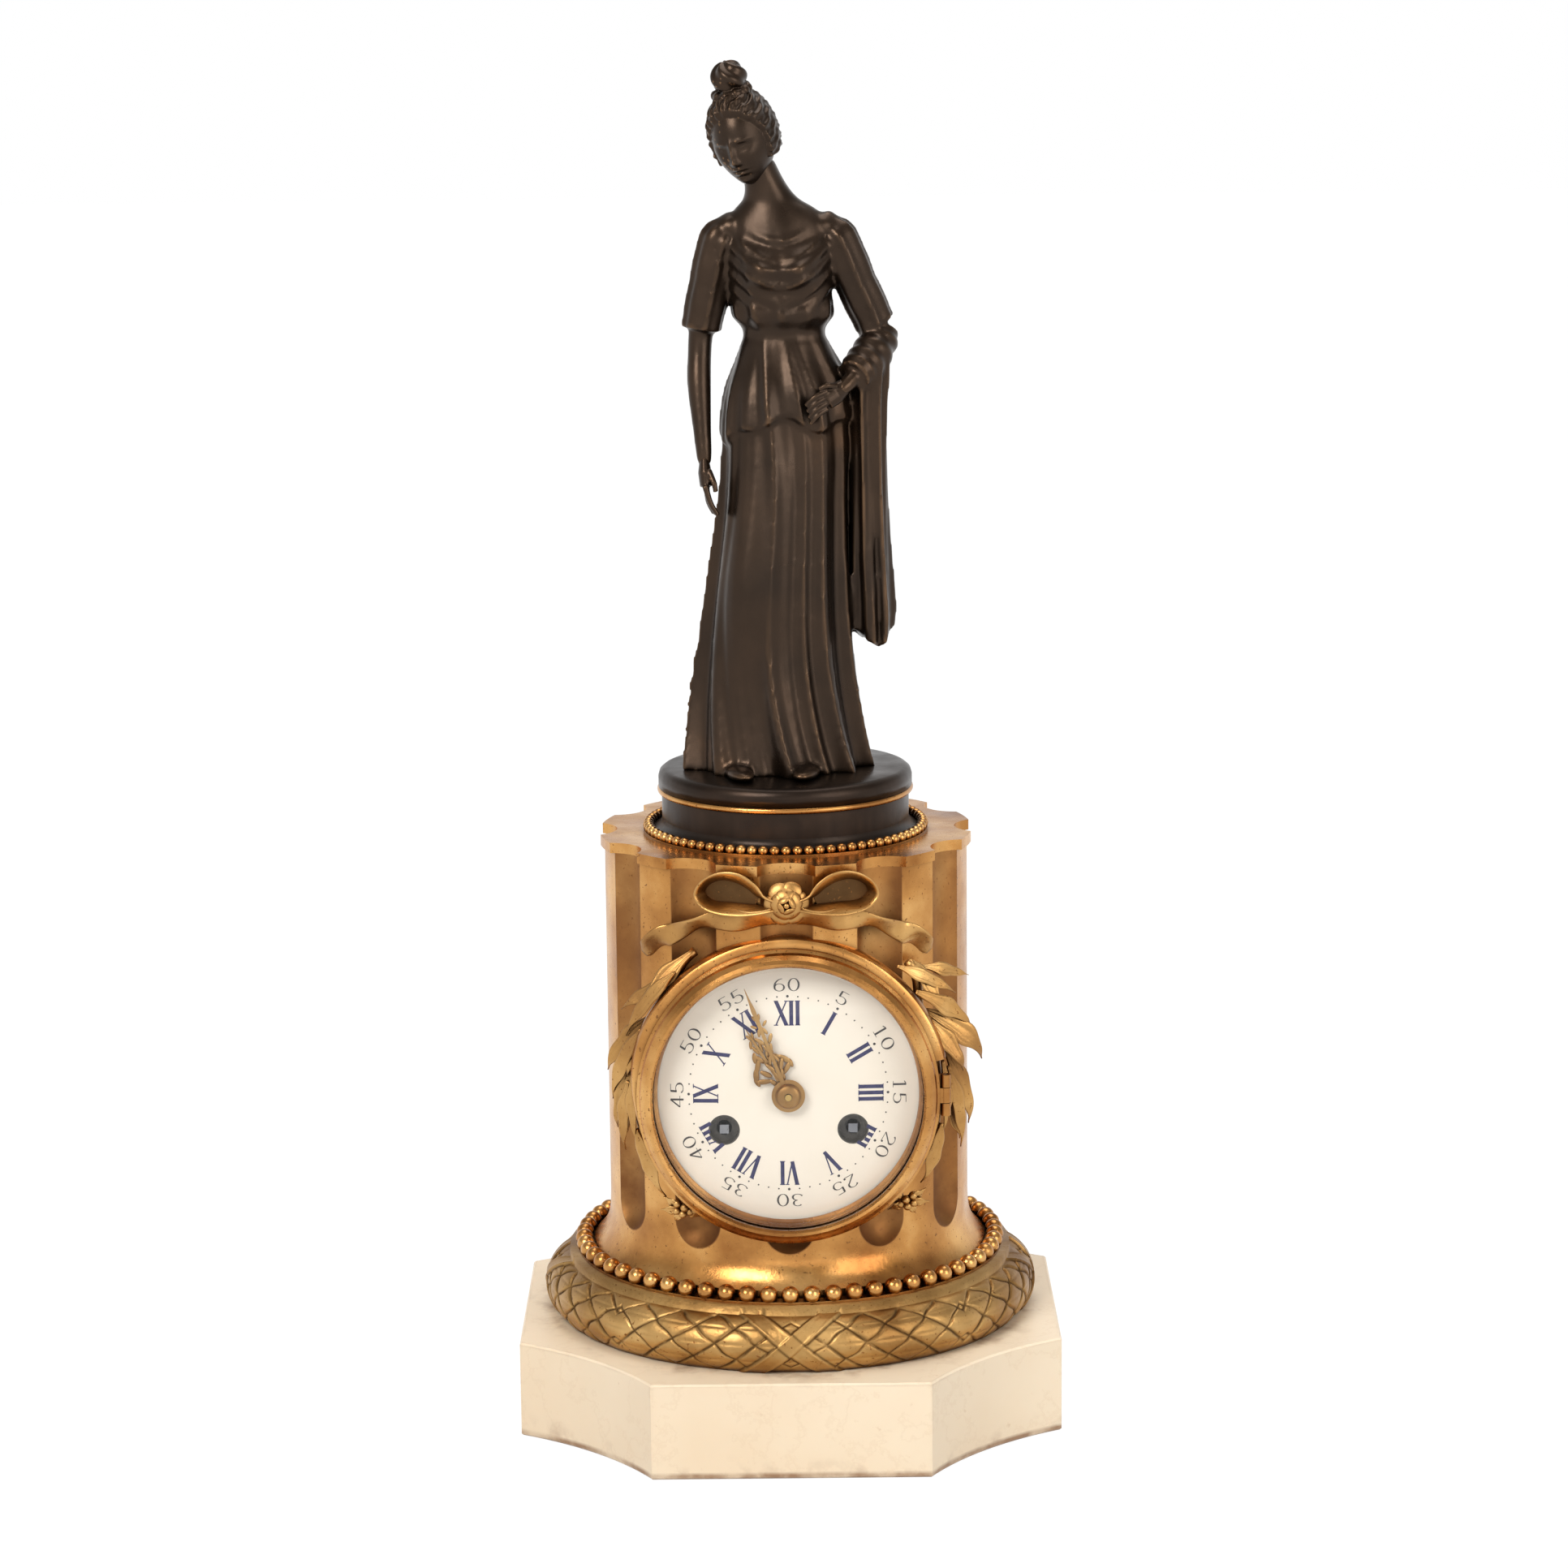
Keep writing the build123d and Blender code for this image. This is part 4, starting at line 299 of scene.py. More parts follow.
def marbleMaterial():
    look = {
        "base": (0.80, 0.66, 0.485), "pale": (0.86, 0.745, 0.58), "vein": (0.66, 0.50, 0.34),
        "dirtAndShade": (0.30, 0.17, 0.09), "foot": (0.0026, 0.0014), "rough": 0.42, "deep": 0.12,
        "radius": (0.006, 0.004, 0.003),
    }
    mat, tree, bsdf = newMaterial("creamMarble")
    cloud = ramp(tree, noiseFac(tree, 14.0, 5.0), [(0.3, look["base"]), (0.7, look["pale"])])
    vein = greyRamp(tree, noiseFac(tree, 24.0, 8.0, 0.65), (0.485, 0), (0.5, 0.2), (0.515, 0))
    color = mixColor(tree, vein, cloud, look["vein"])
    # painted shade round the torus foot on the top, broken up by noise
    rim = greyRamp(tree, cavity(tree, 0.010), (0.45, 1), (0.95, 0))
    patch = greyRamp(tree, noiseFac(tree, 110.0, 6.0), (0.5, 0), (0.72, 0.75))
    # darker towards the bottom, in patches
    foot = mapRange(tree, splitXyz(tree, coords(tree))["Z"], *look["foot"])
    stain = greyRamp(tree, noiseFac(tree, 75.0, 6.0), (0.38, 0.25), (0.6, 0.95))
    edge = greyRamp(tree, cavity(tree, 0.0022, 8, True), (0.45, 1), (0.85, 0))
    worn = greyRamp(tree, noiseFac(tree, 55.0, 6.0), (0.42, 0.05), (0.66, 0.6))
    # each mask pulls the colour toward the dark colour: painted shade at the rim, darker towards the bottom at the
    # foot, wear at the edges
    for place, amount in ((rim, patch), (foot, stain), (edge, worn)):
        color = mixColor(tree, multiply(tree, place, amount), color, look["dirtAndShade"])
    fleck = greyRamp(tree, noiseFac(tree, 260.0, 3.0), (0.70, 0), (0.76, 0.55))
    setInputs(tree, bsdf, {
        "Base Color": mixColor(tree, fleck, color, look["vein"]), "Roughness": look["rough"],
        "Subsurface Weight": look["deep"], "Subsurface Radius": look["radius"],
        "Normal": bumpNormal(tree, noiseFac(tree, 300.0, 5.0), 0.06),
    })
    return mat


def enamelMaterial():
    mat, tree, bsdf = newMaterial("whiteEnamel")
    color = ramp(tree, noiseFac(tree, 30.0, 4.0), [(0.3, (0.93, 0.885, 0.80)), (0.7, (0.97, 0.935, 0.87))])
    setInputs(tree, bsdf, {"Base Color": color, "Roughness": 0.22, "Coat Weight": 0.3})
    return mat


def inkMaterial(name, color):
    mat, tree, bsdf = newMaterial(name)
    faded = tuple(c * 1.6 + 0.02 for c in color)
    shade = ramp(tree, noiseFac(tree, 500.0, 3.0), [(0.3, color), (0.75, faded)])
    setInputs(tree, bsdf, {"Base Color": shade, "Roughness": 0.35})
    return mat


def glassMaterial():
    # thin pane: clear with a faint reflection that grows at the rim
    mat, tree, bsdf = newMaterial("clearGlass")
    clear = addNode(tree, "ShaderNodeBsdfTransparent", {"Color": (0.985, 0.98, 0.97, 1.0)})
    smear = greyRamp(tree, noiseFac(tree, 40.0, 4.0), (0.3, 0.75), (0.8, 1.0))
    shine = addNode(tree, "ShaderNodeBsdfGlossy", {"Roughness": 0.03, "Color": smear})
    facing = addNode(tree, "ShaderNodeLayerWeight", {"Blend": 0.5}).outputs["Facing"]
    amount = mathNode(tree, "MULTIPLY_ADD", mathNode(tree, "POWER", facing, 4.0), 0.45, 0.02)
    surfaceMix(tree, amount, clear.outputs["BSDF"], shine.outputs["BSDF"])
    tree.nodes.remove(bsdf)
    return mat


gilt = metalMaterial("burnishedGilt", giltLook)
fluteGilt = metalMaterial("fluteGilt", fluteLook)
matteGilt = metalMaterial("matteGilt", matteGiltLook)
leafGilt = metalMaterial("leafGilt", leafLook)
brass = metalMaterial("polishedBrass", brassLook)
bellMetal = metalMaterial("bellMetal", bellLook)
steel = metalMaterial("blueSteel", steelLook)
handGilt = metalMaterial("handGilt", handLook)
loopShadeGilt = metalMaterial("loopShadeGilt", loopShadeLook)
bronze = bronzeMaterial("darkBronze", bronzeLook)
socleBronze = bronzeMaterial("socleBronze", socleLook)
marble = marbleMaterial()
enamel = enamelMaterial()
blueInk = inkMaterial("blueInk", (0.012, 0.014, 0.085))
blackInk = inkMaterial("blackInk", (0.03, 0.028, 0.03))
# dark grey for the painted shade inside the winding holes
wellShade = inkMaterial("wellShade", (0.045, 0.042, 0.038))
glass = glassMaterial()

slotLooks = {
    "cream_marble": marble, "gilt_bronze": gilt, "polished_brass": brass, "blued_steel": steel,
    "dark_bronze": bronze, "clear_glass": glass, "white_enamel": enamel, "bell_metal": bellMetal,
}
nodeLooks = {"column": fluteGilt, "socle": socleBronze}
nodeSlots = {row["node"]: row["material_slot"] for row in frame["record"]["subparts"]}
for name, obj in nodes.items():
    obj.data.materials.clear()
    obj.data.materials.append(nodeLooks.get(name, slotLooks[nodeSlots[name]]))
print("stage: materials")


# mesh helpers

def addObject(name, data):
    obj = bpy.data.objects.new(name, data)
    bpy.context.scene.collection.objects.link(obj)
    return obj


def meshFrom(name, bm):
    mesh = bpy.data.meshes.new(name)
    bm.to_mesh(mesh)
    bm.free()
    return mesh


def finishMesh(name, bm, mat, body="case", replaced=(), shade=True, sharp=None):
    bmesh.ops.remove_doubles(bm, verts=bm.verts, dist=1e-6)
    bmesh.ops.recalc_face_normals(bm, faces=bm.faces)
    mesh = meshFrom(name, bm)
    for polygon in mesh.polygons:
        polygon.use_smooth = shade
    mesh.materials.append(mat)
    obj = addObject(name, mesh)
    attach(obj, body)
    if replaced:
        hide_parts(*replaced)
    if sharp:
        mesh.set_sharp_from_angle(angle=math.radians(sharp))


def addLoft(bm, rings, capped=True, marks=None):
    # a grid rolled up through the rings; marks are one layer's values, ring by ring
    count = len(rings[0])
    steps = len(rings) - 1
    made = bmesh.ops.create_grid(bm, x_segments=count, y_segments=steps, size=1.0)["verts"]
    for vert in made:
        i = round((vert.co.x + 1) / 2 * count) % count
        j = round((vert.co.y + 1) / 2 * steps)
        vert.co = rings[j][i]
        if marks:
            vert[marks[0]] = marks[1][j][i]
    bmesh.ops.remove_doubles(bm, verts=made, dist=1e-7)
    if capped:
        rims = {edge for vert in made if vert.is_valid for edge in vert.link_edges if edge.is_boundary}
        bmesh.ops.holes_fill(bm, edges=list(rims), sides=0)


def headings(path):
    last = len(path) - 1
    return [(path[min(i + 1, last)] - path[max(i - 1, 0)]).normalized() for i in range(len(path))]


def addTube(bm, path, sizes, count=12, flat=1.0, side=Vector((0, 1, 0)), swell=None):
    # tapering tube through points; flat thins it across its own side direction
    rings = []
    for spot, size, ahead in zip(path, sizes, headings(path)):
        across = ahead.cross(side).normalized()
        upward = across.cross(ahead).normalized()
        ring = []
        for turn in circle(count):
            grow = swell(turn) if swell else 1.0
            wide, deep = size * grow * math.cos(turn), size * flat * grow * math.sin(turn)
            ring.append(spot + across * wide + upward * deep)
        rings.append(ring)
    addLoft(bm, rings)


def addBall(bm, center, sizes, segments=20, rings=12, turn=Matrix.Identity(4)):
    place = Matrix.Translation(center) @ turn @ Matrix.Diagonal((*sizes, 1.0))
    return bmesh.ops.create_uvsphere(bm, u_segments=segments, v_segments=rings, radius=1.0, matrix=place)["verts"]


def spinProfile(bm, profile, axis, center, steps):
    # full turn of an open or closed row of points
    verts = [bm.verts.new(p) for p in profile]
    edges = [bm.edges.new(pair) for pair in zip(verts, verts[1:])]
    bmesh.ops.spin(bm, geom=verts + edges, cent=center, axis=axis, angle=fullTurn, steps=steps, use_merge=True)


def spinAll(bm, center, axis, angle, steps, copies):
    everything = bm.verts[:] + bm.edges[:] + bm.faces[:]
    bmesh.ops.spin(bm, geom=everything, cent=center, axis=axis, angle=angle, steps=steps, use_duplicate=copies)


dialZ = 122.0
upright = (0, 0, 1)
origin = (0, 0, 0)


def face(x, y, d):
    # place on the dial side: right, up from the dial centre, forward; in millimetres
    return Vector((x * mm, -d * mm, (dialZ + y) * mm))


def onTurn(radius, degrees):
    turn = math.radians(degrees)
    return radius * math.cos(turn), radius * math.sin(turn)


def roundPoint(radius, turn, z):
    return Vector((radius * math.cos(turn), radius * math.sin(turn), z)) * mm


# camera and light

def addCamera():
    view = {"place": (-0.0004, -1.4921, 0.5132), "pitch": 0.198, "roll": -0.010, "lens": 103.4, "sensor": 36.0}
    data = bpy.data.cameras.new("photoCamera")
    data.lens = view["lens"]
    data.sensor_width = view["sensor"]
    data.clip_end = 50.0
    obj = addObject("photoCamera", data)
    aim = Matrix.Rotation(math.pi / 2 - view["pitch"], 4, "X") @ Matrix.Rotation(view["roll"], 4, "Z")
    obj.matrix_world = Matrix.Translation(view["place"]) @ aim
    bpy.context.scene.camera = obj


def addLamp(name, place, target, size, power, color=(1, 1, 1)):
    data = bpy.data.lights.new(name, "AREA")
    data.shape = "RECTANGLE"
    data.size, data.size_y = size
    data.energy = power
    data.color = color
    obj = addObject(name, data)
    aim = (Vector(target) - Vector(place)).to_track_quat("-Z", "Y")
    obj.matrix_world = Matrix.Translation(place) @ aim.to_matrix().to_4x4()


def addStage():
    stage = {"half": 6.0, "drop": 0.0002, "color": (0.64, 0.63, 0.62, 1.0), "rough": 0.7, "glow": 1.10, "seen": 0.88}
    bm = bmesh.new()
    bmesh.ops.create_grid(bm, x_segments=1, y_segments=1, size=stage["half"])
    mesh = meshFrom("floor", bm)
    floor = addObject("floor", mesh)
    floor.location.z = -stage["drop"]
    mat, tree, bsdf = newMaterial("paleFloor")
    setInputs(tree, bsdf, {"Base Color": stage["color"], "Roughness": stage["rough"]})
    light = addNode(tree, "ShaderNodeEmission", {"Color": (1.0, 1.0, 1.0, 1.0), "Strength": stage["glow"]})
    seen = mathNode(tree, "MULTIPLY", seenFac(tree), stage["seen"])
    surfaceMix(tree, seen, bsdf.outputs["BSDF"], light.outputs["Emission"])
    mesh.materials.append(mat)


def addWorld():
    world = bpy.data.worlds.new("studio")
    bpy.context.scene.world = world
    world.use_nodes = True
    tree = world.node_tree
    height = splitXyz(tree, addNode(tree, "ShaderNodeTexCoord").outputs["Generated"])["Z"]
    sky = ramp(tree, height, [(0.0, (0.30, 0.27, 0.24)), (0.35, (0.36, 0.33, 0.30)), (1.0, (0.70, 0.69, 0.67))])
    wall = ramp(tree, height, [(0.20, grey(1.0)), (0.5, (0.36, 0.34, 0.32)), (1.0, (0.55, 0.53, 0.51))])
    color = mixColor(tree, seenFac(tree), sky, wall)
    setInputs(tree, tree.nodes["Background"], {"Color": color, "Strength": 1.0})


addCamera()
addStage()
addWorld()
addLamp("keyLamp", (-0.75, -1.25, 1.25), (0, 0, 0.22), (0.7, 0.7), 19, (1.0, 0.97, 0.93))
addLamp("fillLamp", (1.1, -1.1, 0.75), (0, 0, 0.2), (0.8, 1.0), 8.5, (1.0, 0.97, 0.93))
addLamp("topLamp", (0.1, 0.3, 1.5), (0, 0, 0.25), (0.9, 0.9), 8)
addLamp("frontStrip", (0.0, -1.5, 0.35), (0, 0, 0.1), (1.2, 0.25), 0.7, (1.0, 0.95, 0.88))
bpy.context.scene.view_settings.view_transform = "Standard"
print("stage: camera and light")


# gilt torus with laurel scales and crossed ribbons

def addTorus():
    torus = {
        "foot": (79.0, 32.5), "swell": (83.5, 40.872), "neck": (75.6, 50.7), "top": 53.5, "inner": 66.0,
        "around": 1200, "across": 64, "leafLength": 14.4, "leafWide": 11.4, "leafShift": 3.3, "unrolled": 81.0,
        "ribbonSlope": 0.85, "ribbonHalf": 3.0,
    }
    # the outline is the arc through three points
    a, b, c = (Vector(torus[key]) for key in ("foot", "swell", "neck"))
    spread = 2 * (a.x * (b.y - c.y) + b.x * (c.y - a.y) + c.x * (a.y - b.y))
    squares = [p.length_squared for p in (a, b, c)]
    center = Vector((
        (squares[0] * (b.y - c.y) + squares[1] * (c.y - a.y) + squares[2] * (a.y - b.y)) / spread,
        (squares[0] * (c.x - b.x) + squares[1] * (a.x - c.x) + squares[2] * (b.x - a.x)) / spread,
    ))
    radius = (a - center).length
    low = math.atan2(a.y - center.y, a.x - center.x)
    high = math.atan2(c.y - center.y, c.x - center.x)
    length = radius * (high - low)

    def leafScale(u, v):
        # pointed scales in a lattice: height, and distance from the nearest line
        u += 0.5 * math.sin(0.7 * v + 0.29 * u)
        rise = (u / torus["leafLength"] + v / torus["leafWide"]) % 1.0
        fall = (u / torus["leafLength"] - v / torus["leafWide"]) % 1.0
        line = 8.9 * min(rise, 1 - rise, fall, 1 - fall)
        tip = (rise + fall) / 2
        dome = (16 * rise * (1 - rise) * fall * (1 - fall)) ** 0.35
        rib = 0.22 * bump(rise - fall, 0, 0.08) * smooth(0.1, 0.4, tip)
        return 0.6 * dome + 0.6 * tip - rib - 0.85 - 0.35 * (1 - smooth(0.1, 0.6, line)), line

    def relief(turn, v):
        # height over the arc, and how strong the painted shade in the groove there is
        quarter = math.pi / 2
        signed = ((turn + quarter / 2) % quarter - quarter / 2) * torus["unrolled"]
        edge = smooth(0.0, 2.0, v) * (1 - smooth(length - 1.6, length, v))
        height, line = leafScale(abs(signed) + torus["leafShift"], v - length / 2)
        height *= edge
        # the painted groove shade is fainter in random patches
        worn = smooth(-0.35, 0.25, noise.noise(Vector((signed * 0.16, v * 0.16, round(turn / quarter)))))
        dark = lerp(0.35, 0.9, worn) * edge * (1 - smooth(0.14, 0.6, line))
        half, slope = torus["ribbonHalf"], torus["ribbonSlope"]
        for side, lift in ((1, 1.0), (-1, 0.72)):
            off = abs(v - length / 2 - side * slope * signed) / math.hypot(1, slope)
            # painted shade along both edges of each ribbon
            if off < half + 0.6:
                dark = 0.9 * edge * bump(off, half + 0.1, 0.35)
            if off < half:
                rim = 0.22 * bump(off, half - 0.8, 0.4)
                height = max(height, lerp(height, lift - 0.3 + rim, smooth(half, half - 0.5, off)))
        return height, dark

    bm = bmesh.new()
    rings = []
    grooveShades = []
    turns = circle(torus["around"])
    for i in range(torus["across"] + 1):
        lean = lerp(low, high, i / torus["across"])
        out = Vector((math.cos(lean), math.sin(lean)))
        rows = [relief(turn, radius * (lean - low)) for turn in turns]
        spots = [center + out * (radius + rise) for rise, dark in rows]
        rings.append([roundPoint(spot.x, turn, spot.y) for spot, turn in zip(spots, turns)])
        grooveShades.append([dark for rise, dark in rows])
    for r in (torus["neck"][0], torus["inner"]):
        rings.append([roundPoint(r, turn, torus["top"]) for turn in turns])
        grooveShades.append([0.0] * len(turns))
    addLoft(bm, rings, False, (bm.verts.layers.float.new("grooveShade"), grooveShades))
    finishMesh("laurelTorus", bm, matteGilt, replaced=["torus_base"])


footBeads = {
    "node": "lower_bead_ring", "count": 62, "size": 3.02, "circle": 70.6, "level": 56.2, "low": 53.5, "high": 54.4,
    "half": 2.2,
}
socleBeads = {
    "node": "upper_bead_ring", "count": 78, "size": 1.83, "circle": 46.4, "level": 200.6, "low": 199.0,
    "high": 199.6, "half": 1.6,
}


def addBeads(name, beads):
    # round beads on a thin strip
    bm = bmesh.new()
    addBall(bm, Vector((0, -beads["circle"], beads["level"])) * mm, (beads["size"] * mm,) * 3, 20, 14)
    rest = beads["count"] - 1
    spinAll(bm, origin, upright, fullTurn * rest / beads["count"], rest, True)
    inner, outer = beads["circle"] - beads["half"], beads["circle"] + beads["half"]
    low, high = beads["low"], beads["high"]
    strip = [(inner, low), (outer, low), (outer, high), (inner, high), (inner, low)]
    spinProfile(bm, [Vector((r, 0, z)) * mm for r, z in strip], upright, origin, 180)
    finishMesh(name, bm, gilt, replaced=[beads["node"]], sharp=60)


addTorus()
addBeads("footBeads", footBeads)
addBeads("socleBeads", socleBeads)
print("stage: torus and beads")


# dial figures

dialShape = {"front": 60.2, "sag": 1.8, "rim": 44.3, "ink": 0.07}
wells = {
    "spots": [(-21.22, -12.25), (21.22, -12.25)], "clear": 4.9, "inner": 2.5, "outer": 4.72, "floor": 56.4, "lip": 5.15,
    "front": 0.05, "steps": 48,
}


def dialFront(x, y):
    # the enamel is slightly domed
    return dialShape["front"] - dialShape["sag"] * ((x * x + y * y) / dialShape["rim"] ** 2)


def dialPoint(x, y, lift=dialShape["ink"]):
    return face(x, y, dialFront(x, y) + lift)


def addStroke(bm, start, end, wide, place):
    # flat bar of ink between two points of a letter, cut away at the winding holes
    run = Vector(end) - Vector(start)
    side = Vector((-run.y, run.x)).normalized() * wide / 2
    pieces = max(1, int(run.length / 0.8))
    made = bmesh.ops.create_grid(bm, x_segments=pieces, y_segments=1, size=1.0)["verts"]
    for vert in made:
        vert.co = place(Vector(start) + run * (vert.co.x + 1) / 2 + side * vert.co.y)
    holes = [dialPoint(x, y) for x, y in wells["spots"]]
    hidden = []
    for part in {part for vert in made for part in vert.link_faces}:
        if min((part.calc_center_median() - hole).length for hole in holes) < wells["clear"] * mm:
            hidden.append(part)
    bmesh.ops.delete(bm, geom=hidden, context="FACES")


def turned(angle, radius):
    # letter space to dial space, feet to the centre
    turn = math.radians(angle)
    out = Vector((math.sin(turn), math.cos(turn)))
    across = Vector((math.cos(turn), -math.sin(turn)))

    def place(p):
        spot = out * (radius + p.y) + across * p.x
        return dialPoint(spot.x, spot.y)
    return place


def addRomans():
    roman = {
        "names": ["XII", "I", "II", "III", "IIII", "V", "VI", "VII", "VIII", "IX", "X", "XI"], "radius": 27.2,
        "tall": 8.0, "thick": 1.25, "thin": 0.42, "serif": 0.30, "inset": 0.55,
        "widths": {"I": 2.1, "V": 4.3, "X": 4.5},
    }
    bm = bmesh.new()
    half = roman["tall"] / 2
    thick, thin = roman["thick"], roman["thin"]
    for hour, name in enumerate(roman["names"]):
        place = turned(hour * 30, roman["radius"])
        x = -sum(roman["widths"][letter] for letter in name) / 2
        for letter in name:
            wide = roman["widths"][letter]
            mid = x + wide / 2
            left, right = mid - (wide / 2 - roman["inset"]), mid + (wide / 2 - roman["inset"])
            if letter == "I":
                bars = [((mid, -half), (mid, half), thick)]
                feet = [(mid, -half, 0.85), (mid, half, 0.85)]
            elif letter == "V":
                bars = [((left, half), (mid, -half), thick), ((right, half), (mid, -half), thin)]
                feet = [(left, half, 0.8), (right, half, 0.6)]
            else:
                bars = [((left, half), (right, -half), thick), ((right, half), (left, -half), thin)]
                feet = [(end, t * half, 0.7) for end in (left, right) for t in (-1, 1)]
            bars += [((fx - reach, fy), (fx + reach, fy), roman["serif"]) for fx, fy, reach in feet]
            for start, end, size in bars:
                addStroke(bm, start, end, size, place)
            x += wide
    finishMesh("romanHours", bm, blueInk, shade=False)


def arc(cx, cy, rx, ry, first, last, count=14):
    turns = [math.radians(lerp(first, last, i / count)) for i in range(count + 1)]
    return [(cx + rx * math.cos(turn), cy + ry * math.sin(turn)) for turn in turns]


def addMinutes():
    minute = {
        "radius": 34.5, "tall": 4.3, "wide": 1.75, "hair": 0.18, "thick": 0.64, "step": 1.10, "dotRadius": 32.8,
        "dot": 0.27, "fiveDot": 1.7,
    }
    digits = {
        "0": [arc(0.28, 0.5, 0.22, 0.48, 0, 360, 28)],
        "1": [[(0.28, 0.0), (0.28, 1.0)], [(0.28, 1.0), (0.13, 0.86)], [(0.14, 0.0), (0.42, 0.0)]],
        "2": [arc(0.28, 0.74, 0.20, 0.24, 165, -45), [(0.42, 0.58), (0.06, 0.02)], [(0.06, 0.02), (0.50, 0.02)],
              [(0.50, 0.02), (0.50, 0.16)]],
        "3": [arc(0.26, 0.75, 0.18, 0.23, 150, -90), arc(0.26, 0.27, 0.22, 0.25, 90, -155)],
        "4": [[(0.38, 1.0), (0.04, 0.28)], [(0.04, 0.28), (0.54, 0.28)], [(0.38, 1.0), (0.38, 0.0)]],
        "5": [[(0.46, 0.98), (0.14, 0.98)], [(0.14, 0.98), (0.12, 0.52)], arc(0.26, 0.30, 0.22, 0.29, 130, -155)],
        "6": [arc(0.28, 0.29, 0.21, 0.28, 0, 360, 24), arc(0.44, 0.36, 0.37, 0.60, 180, 95)],
    }
    bm = bmesh.new()
    tall = minute["tall"]
    for step in range(12):
        text = str(step * 5 if step else 60)
        place = turned(step * 30, minute["radius"])
        x = -len(text) * minute["step"] / 2
        for letter in text:
            for path in digits[letter]:
                points = [((x + px * minute["wide"]) * tall, py * tall) for px, py in path]
                for p, q in zip(points, points[1:]):
                    steep = abs(q[1] - p[1]) / max(1e-6, math.hypot(q[0] - p[0], q[1] - p[1]))
                    addStroke(bm, p, q, lerp(minute["hair"], minute["thick"], steep ** 2), place)
            x += minute["step"]
    for tick in range(60):
        place = turned(tick * 6, minute["dotRadius"])
        size = minute["dot"] * (minute["fiveDot"] if tick % 5 == 0 else 1.0)
        for vert in bmesh.ops.create_circle(bm, cap_ends=True, segments=8, radius=size)["verts"]:
            vert.co = place(vert.co.xy)
    finishMesh("arabicMinutes", bm, blackInk, shade=False)


def addWells():
    # dark grey collar inside each winding hole, open round the square: painted shade for the inside of the hole
    bm = bmesh.new()
    for x, y in wells["spots"]:
        rings = []
        for r, sunk in ((wells["inner"], True), (wells["outer"], True), (wells["outer"], False), (wells["lip"], False)):
            spots = [onTurn(r, k * 360 / wells["steps"]) for k in range(wells["steps"])]
            spots = [(x + a, y + b) for a, b in spots]
            rings.append([face(*spot, wells["floor"]) if sunk else dialPoint(*spot, wells["front"]) for spot in spots])
        addLoft(bm, rings, capped=False)
    finishMesh("windingWells", bm, wellShade, sharp=40)


def addRing(name, ring):
    # turned moulding about the dial's axis, all round or between two angles with the far end drawn in
    bm = bmesh.new()
    first, last = ring["turns"]
    spots = [onTurn(r, first) + (d,) for r, d in ring["outline"]]
    if last - first < 360:
        loop = bmesh.ops.create_circle(bm, cap_ends=True, segments=len(spots), radius=1.0)["verts"]
        for vert, spot in zip(loop, spots):
            vert.co = face(*spot)
        spinAll(bm, face(0, 0, 0), (0, -1, 0), math.radians(last - first), 100, False)
        for vert in bm.verts:
            x, y = vert.co.x / mm, vert.co.z / mm - dialZ
            reach = math.hypot(x, y)
            turn = math.degrees(math.atan2(y, x)) % 360
            x, y = onTurn(lerp(reach, min(reach, ring["end"]), smooth(last - ring["taper"], last, turn)), turn)
            vert.co = face(x, y, -vert.co.y / mm)
    else:
        spinProfile(bm, [face(*spot) for spot in spots + spots[:1]], (0, 1, 0), face(0, 0, 0), 180)
    finishMesh(name, bm, gilt, body=ring["body"], sharp=35)


# outlines are radius, forward
drumCollar = {
    "body": "case", "turns": (13.0, 205.0), "taper": 50.0, "end": 49.6,
    "outline": [(47.05, 54.5), (51.8, 54.5), (53.0, 55.6), (53.3, 58.0), (53.1, 60.6), (52.4, 62.0), (51.2, 62.6),
                (48.65, 62.6), (48.65, 60.4), (47.05, 60.4)],
}
sightRing = {
    "body": "bezel", "turns": (0.0, 360.0),
    "outline": [(44.2, 63.9), (43.7, 62.6), (43.5, 62.4), (43.0, 59.8), (43.2, 59.5), (44.7, 59.5), (44.7, 63.9)],
}

addRomans()
addMinutes()
addWells()
addRing("drumCollar", drumCollar)
addRing("sightRing", sightRing)
print("stage: dial")


# pierced hands

def addHand(name, hand):
    # leaf lobes and a spear along one line, then turned to the time shown
    bm = bmesh.new()
    low, thick = hand["level"], hand["thick"]
    for reach, side, length, wide, lean in hand["lobes"]:
        for mirrored in ((1, -1) if side else (1,)):
            turn = Matrix.Rotation(-math.radians(lean * mirrored), 4, "Z")
            addBall(bm, Vector((side * mirrored, reach, low + thick / 2)), (wide, length, thick / 2), 14, 8, turn)
    for ends in zip(hand["spine"], hand["spine"][1:]):
        corners = [Vector((s * w, y, z)) for y, w in ends for s in (-1, 1) for z in (low + 0.1, low + thick)]
        bmesh.ops.convex_hull(bm, input=[bm.verts.new(p) for p in corners])
    for inner, outer, bottom, top in hand["rings"]:
        outline = [(inner, bottom), (outer, bottom), (outer, lerp(bottom, top, 0.55)), (lerp(inner, outer, 0.75), top),
                   (inner, top), (inner, bottom)]
        spinProfile(bm, [Vector((r, 0, z)) for r, z in outline], upright, origin, 48)
    turn = Matrix.Rotation(math.radians(hand["set"]), 4, "Z")
    for vert in bm.verts:
        vert.co = face(*(turn @ vert.co))
    finishMesh(name, bm, handGilt, body=hand["node"], replaced=[hand["node"]], sharp=50)


